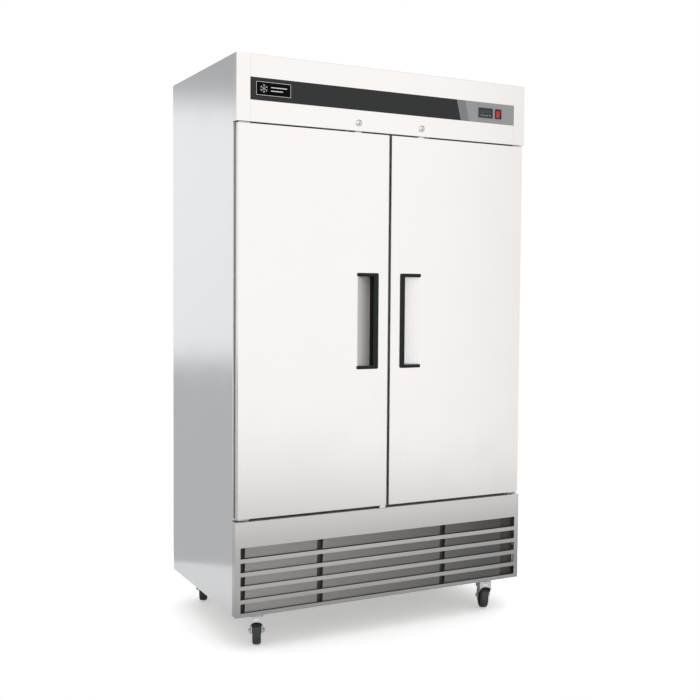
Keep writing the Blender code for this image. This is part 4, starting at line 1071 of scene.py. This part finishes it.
def make_shelf(side_name, number):
    """A coated wire shelf: a round rim, three bearers and close wires from front to back."""
    node = f"{side_name}_shelf_{number}"
    low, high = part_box(node)
    shape = bmesh.new()
    rim = 0.0029
    z = high.z - rim
    outline = rounded(rectangle(low.x + rim, low.y + rim, high.x - rim, high.y - rim), 0.012, 4)
    tube(shape, [(x, y, z) for x, y in outline], rim, 8, closed=True)
    for part in (0.12, 0.5, 0.88):
        y = low.y + (high.y - low.y) * part
        tube(shape, [(low.x + 0.003, y, low.z + 0.0020), (high.x - 0.003, y, low.z + 0.0020)], 0.0019, 8)
    count = 24
    for i in range(1, count):
        x = low.x + rim + (high.x - low.x - 2 * rim) * i / count
        tube(shape, [(x, low.y + 0.002, high.z - 0.0016), (x, high.y - 0.002, high.z - 0.0016)], 0.0015, 6)
    add(f"{side_name}_wire_shelf_{number}", shape, WIRE_COAT, node, [node], 60)


def make_pilaster(node, axis, face, back, middle, half):
    """A slotted shelf standard: a folded channel whose face has a ladder of slots."""
    low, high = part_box(node)
    sheet = 0.0012
    inward = math.copysign(sheet, back - face)
    pitch, slot = 0.025, 0.012
    count = int((high.z - low.z - 0.02) / pitch)
    up = [low.z]
    for i in range(count):
        base = low.z + 0.012 + i * pitch
        up += [base, base + slot]
    up.append(high.z)
    across = [middle - half, middle - 0.0035, middle + 0.0035, middle + half]
    shape = bmesh.new()
    sheet_with_holes(shape, across, up, face, face + inward, {(1, 1 + 2 * i) for i in range(count)}, axis)
    for start in (middle - half, middle + half - sheet):
        box(shape, lay((start, low.z), face + inward * 1.05, axis), lay((start + sheet, high.z), back, axis))
    add(f"{node}_channel", shape, ZINC, "root", [node])


def make_interior():
    """Shelf standards, their clips, the lamp and its end caps."""
    clips = []
    shelf_levels = [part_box(f"left_shelf_{n}")[0].z for n in (1, 2, 3)]
    for side, side_name in SIDES:
        for place in ("front", "rear"):
            node = f"{side_name}_{place}_pilaster"
            low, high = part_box(node)
            middle, half = (low.y + high.y) / 2, (high.y - low.y) / 2
            inner, outer = (high.x, low.x) if side < 0 else (low.x, high.x)
            make_pilaster(node, "X", inner, outer, middle, half)
            for z in shelf_levels:
                clips += [((inner + side * 0.006, middle - 0.0030, z - 0.010),
                           (inner - side * 0.002, middle + 0.0030, z - 0.002)),
                          ((inner - side * 0.0002, middle - 0.0085, z - 0.0020),
                           (inner - side * 0.016, middle + 0.0085, z - 0.0003))]
    low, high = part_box("center_rear_pilaster")
    make_pilaster("center_rear_pilaster", "Y", low.y, high.y, (low.x + high.x) / 2, (high.x - low.x) / 2)
    mullion_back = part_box("center_mullion")[1].y
    for z in shelf_levels:
        clips += [((-0.032, y, z - 0.0020), (0.032, y + 0.0178, z - 0.0003))
                  for y in (low.y - 0.018, mullion_back + 0.0002)]
    blocks("shelf_clips", ZINC, clips, 0.0004)

    low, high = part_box("interior_lamp")
    y, half, cap = (low.y + high.y) / 2, (high.y - low.y) / 2, 0.0119
    spring = low.z + half
    outline = [(y - half, high.z), (y - half, spring)]
    outline += [(y + half * math.cos(math.radians(a)), spring + half * math.sin(math.radians(a)))
                for a in range(200, 341, 20)]
    outline += [(y + half, spring), (y + half, high.z)]
    lens = bmesh.new()
    loft(lens, [[(x, u, v) for u, v in outline] for x in (low.x + 0.012, high.x - 0.012)])
    add("lamp_lens", lens, LAMP_LENS, "root", ["interior_lamp"], 50)
    ends = ((low.x, low.x + cap), (high.x - cap, high.x))
    caps = [((x0, low.y, low.z), (x1, high.y, high.z)) for x0, x1 in ends]
    blocks("lamp_caps", NYLON, caps, 0.002)


def make_cover_screws():
    """Screws on the evaporator cover's underside."""
    low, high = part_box("evaporator_cover")
    places = [(x, y, low.z) for x in (low.x + 0.030, 0.30, -0.30, high.x - 0.030)
              for y in (low.y + 0.014, high.y - 0.014)]
    screws("evaporator_cover_screws", places, "root", 180, 0.0045)


# All the pieces


for side, side_name in SIDES:
    make_handle(side, side_name)
    make_pocket_lining(side, side_name)
    make_gasket(side_name)
    make_door_lining(side, side_name)
    make_lock(side, side_name)
    make_hinge_screws(side, side_name)
    for place in ("front", "rear"):
        make_caster(f"{place}_{side_name}")
    for number in (1, 2, 3):
        make_shelf(side_name, number)
make_nameplate()
make_controls()
make_coil("condenser_coil", "condenser", 10, 2, 0.0035)
make_coil("evaporator_coil", "evaporator", 5, 7, 0.0060)
make_fan("condenser_fan", "Y", 0.091)
make_fan("evaporator_fan", "Z", 0.081)
make_compressor()
make_fan_guard()
make_interior()
make_cover_screws()
make_seams()
make_grille()
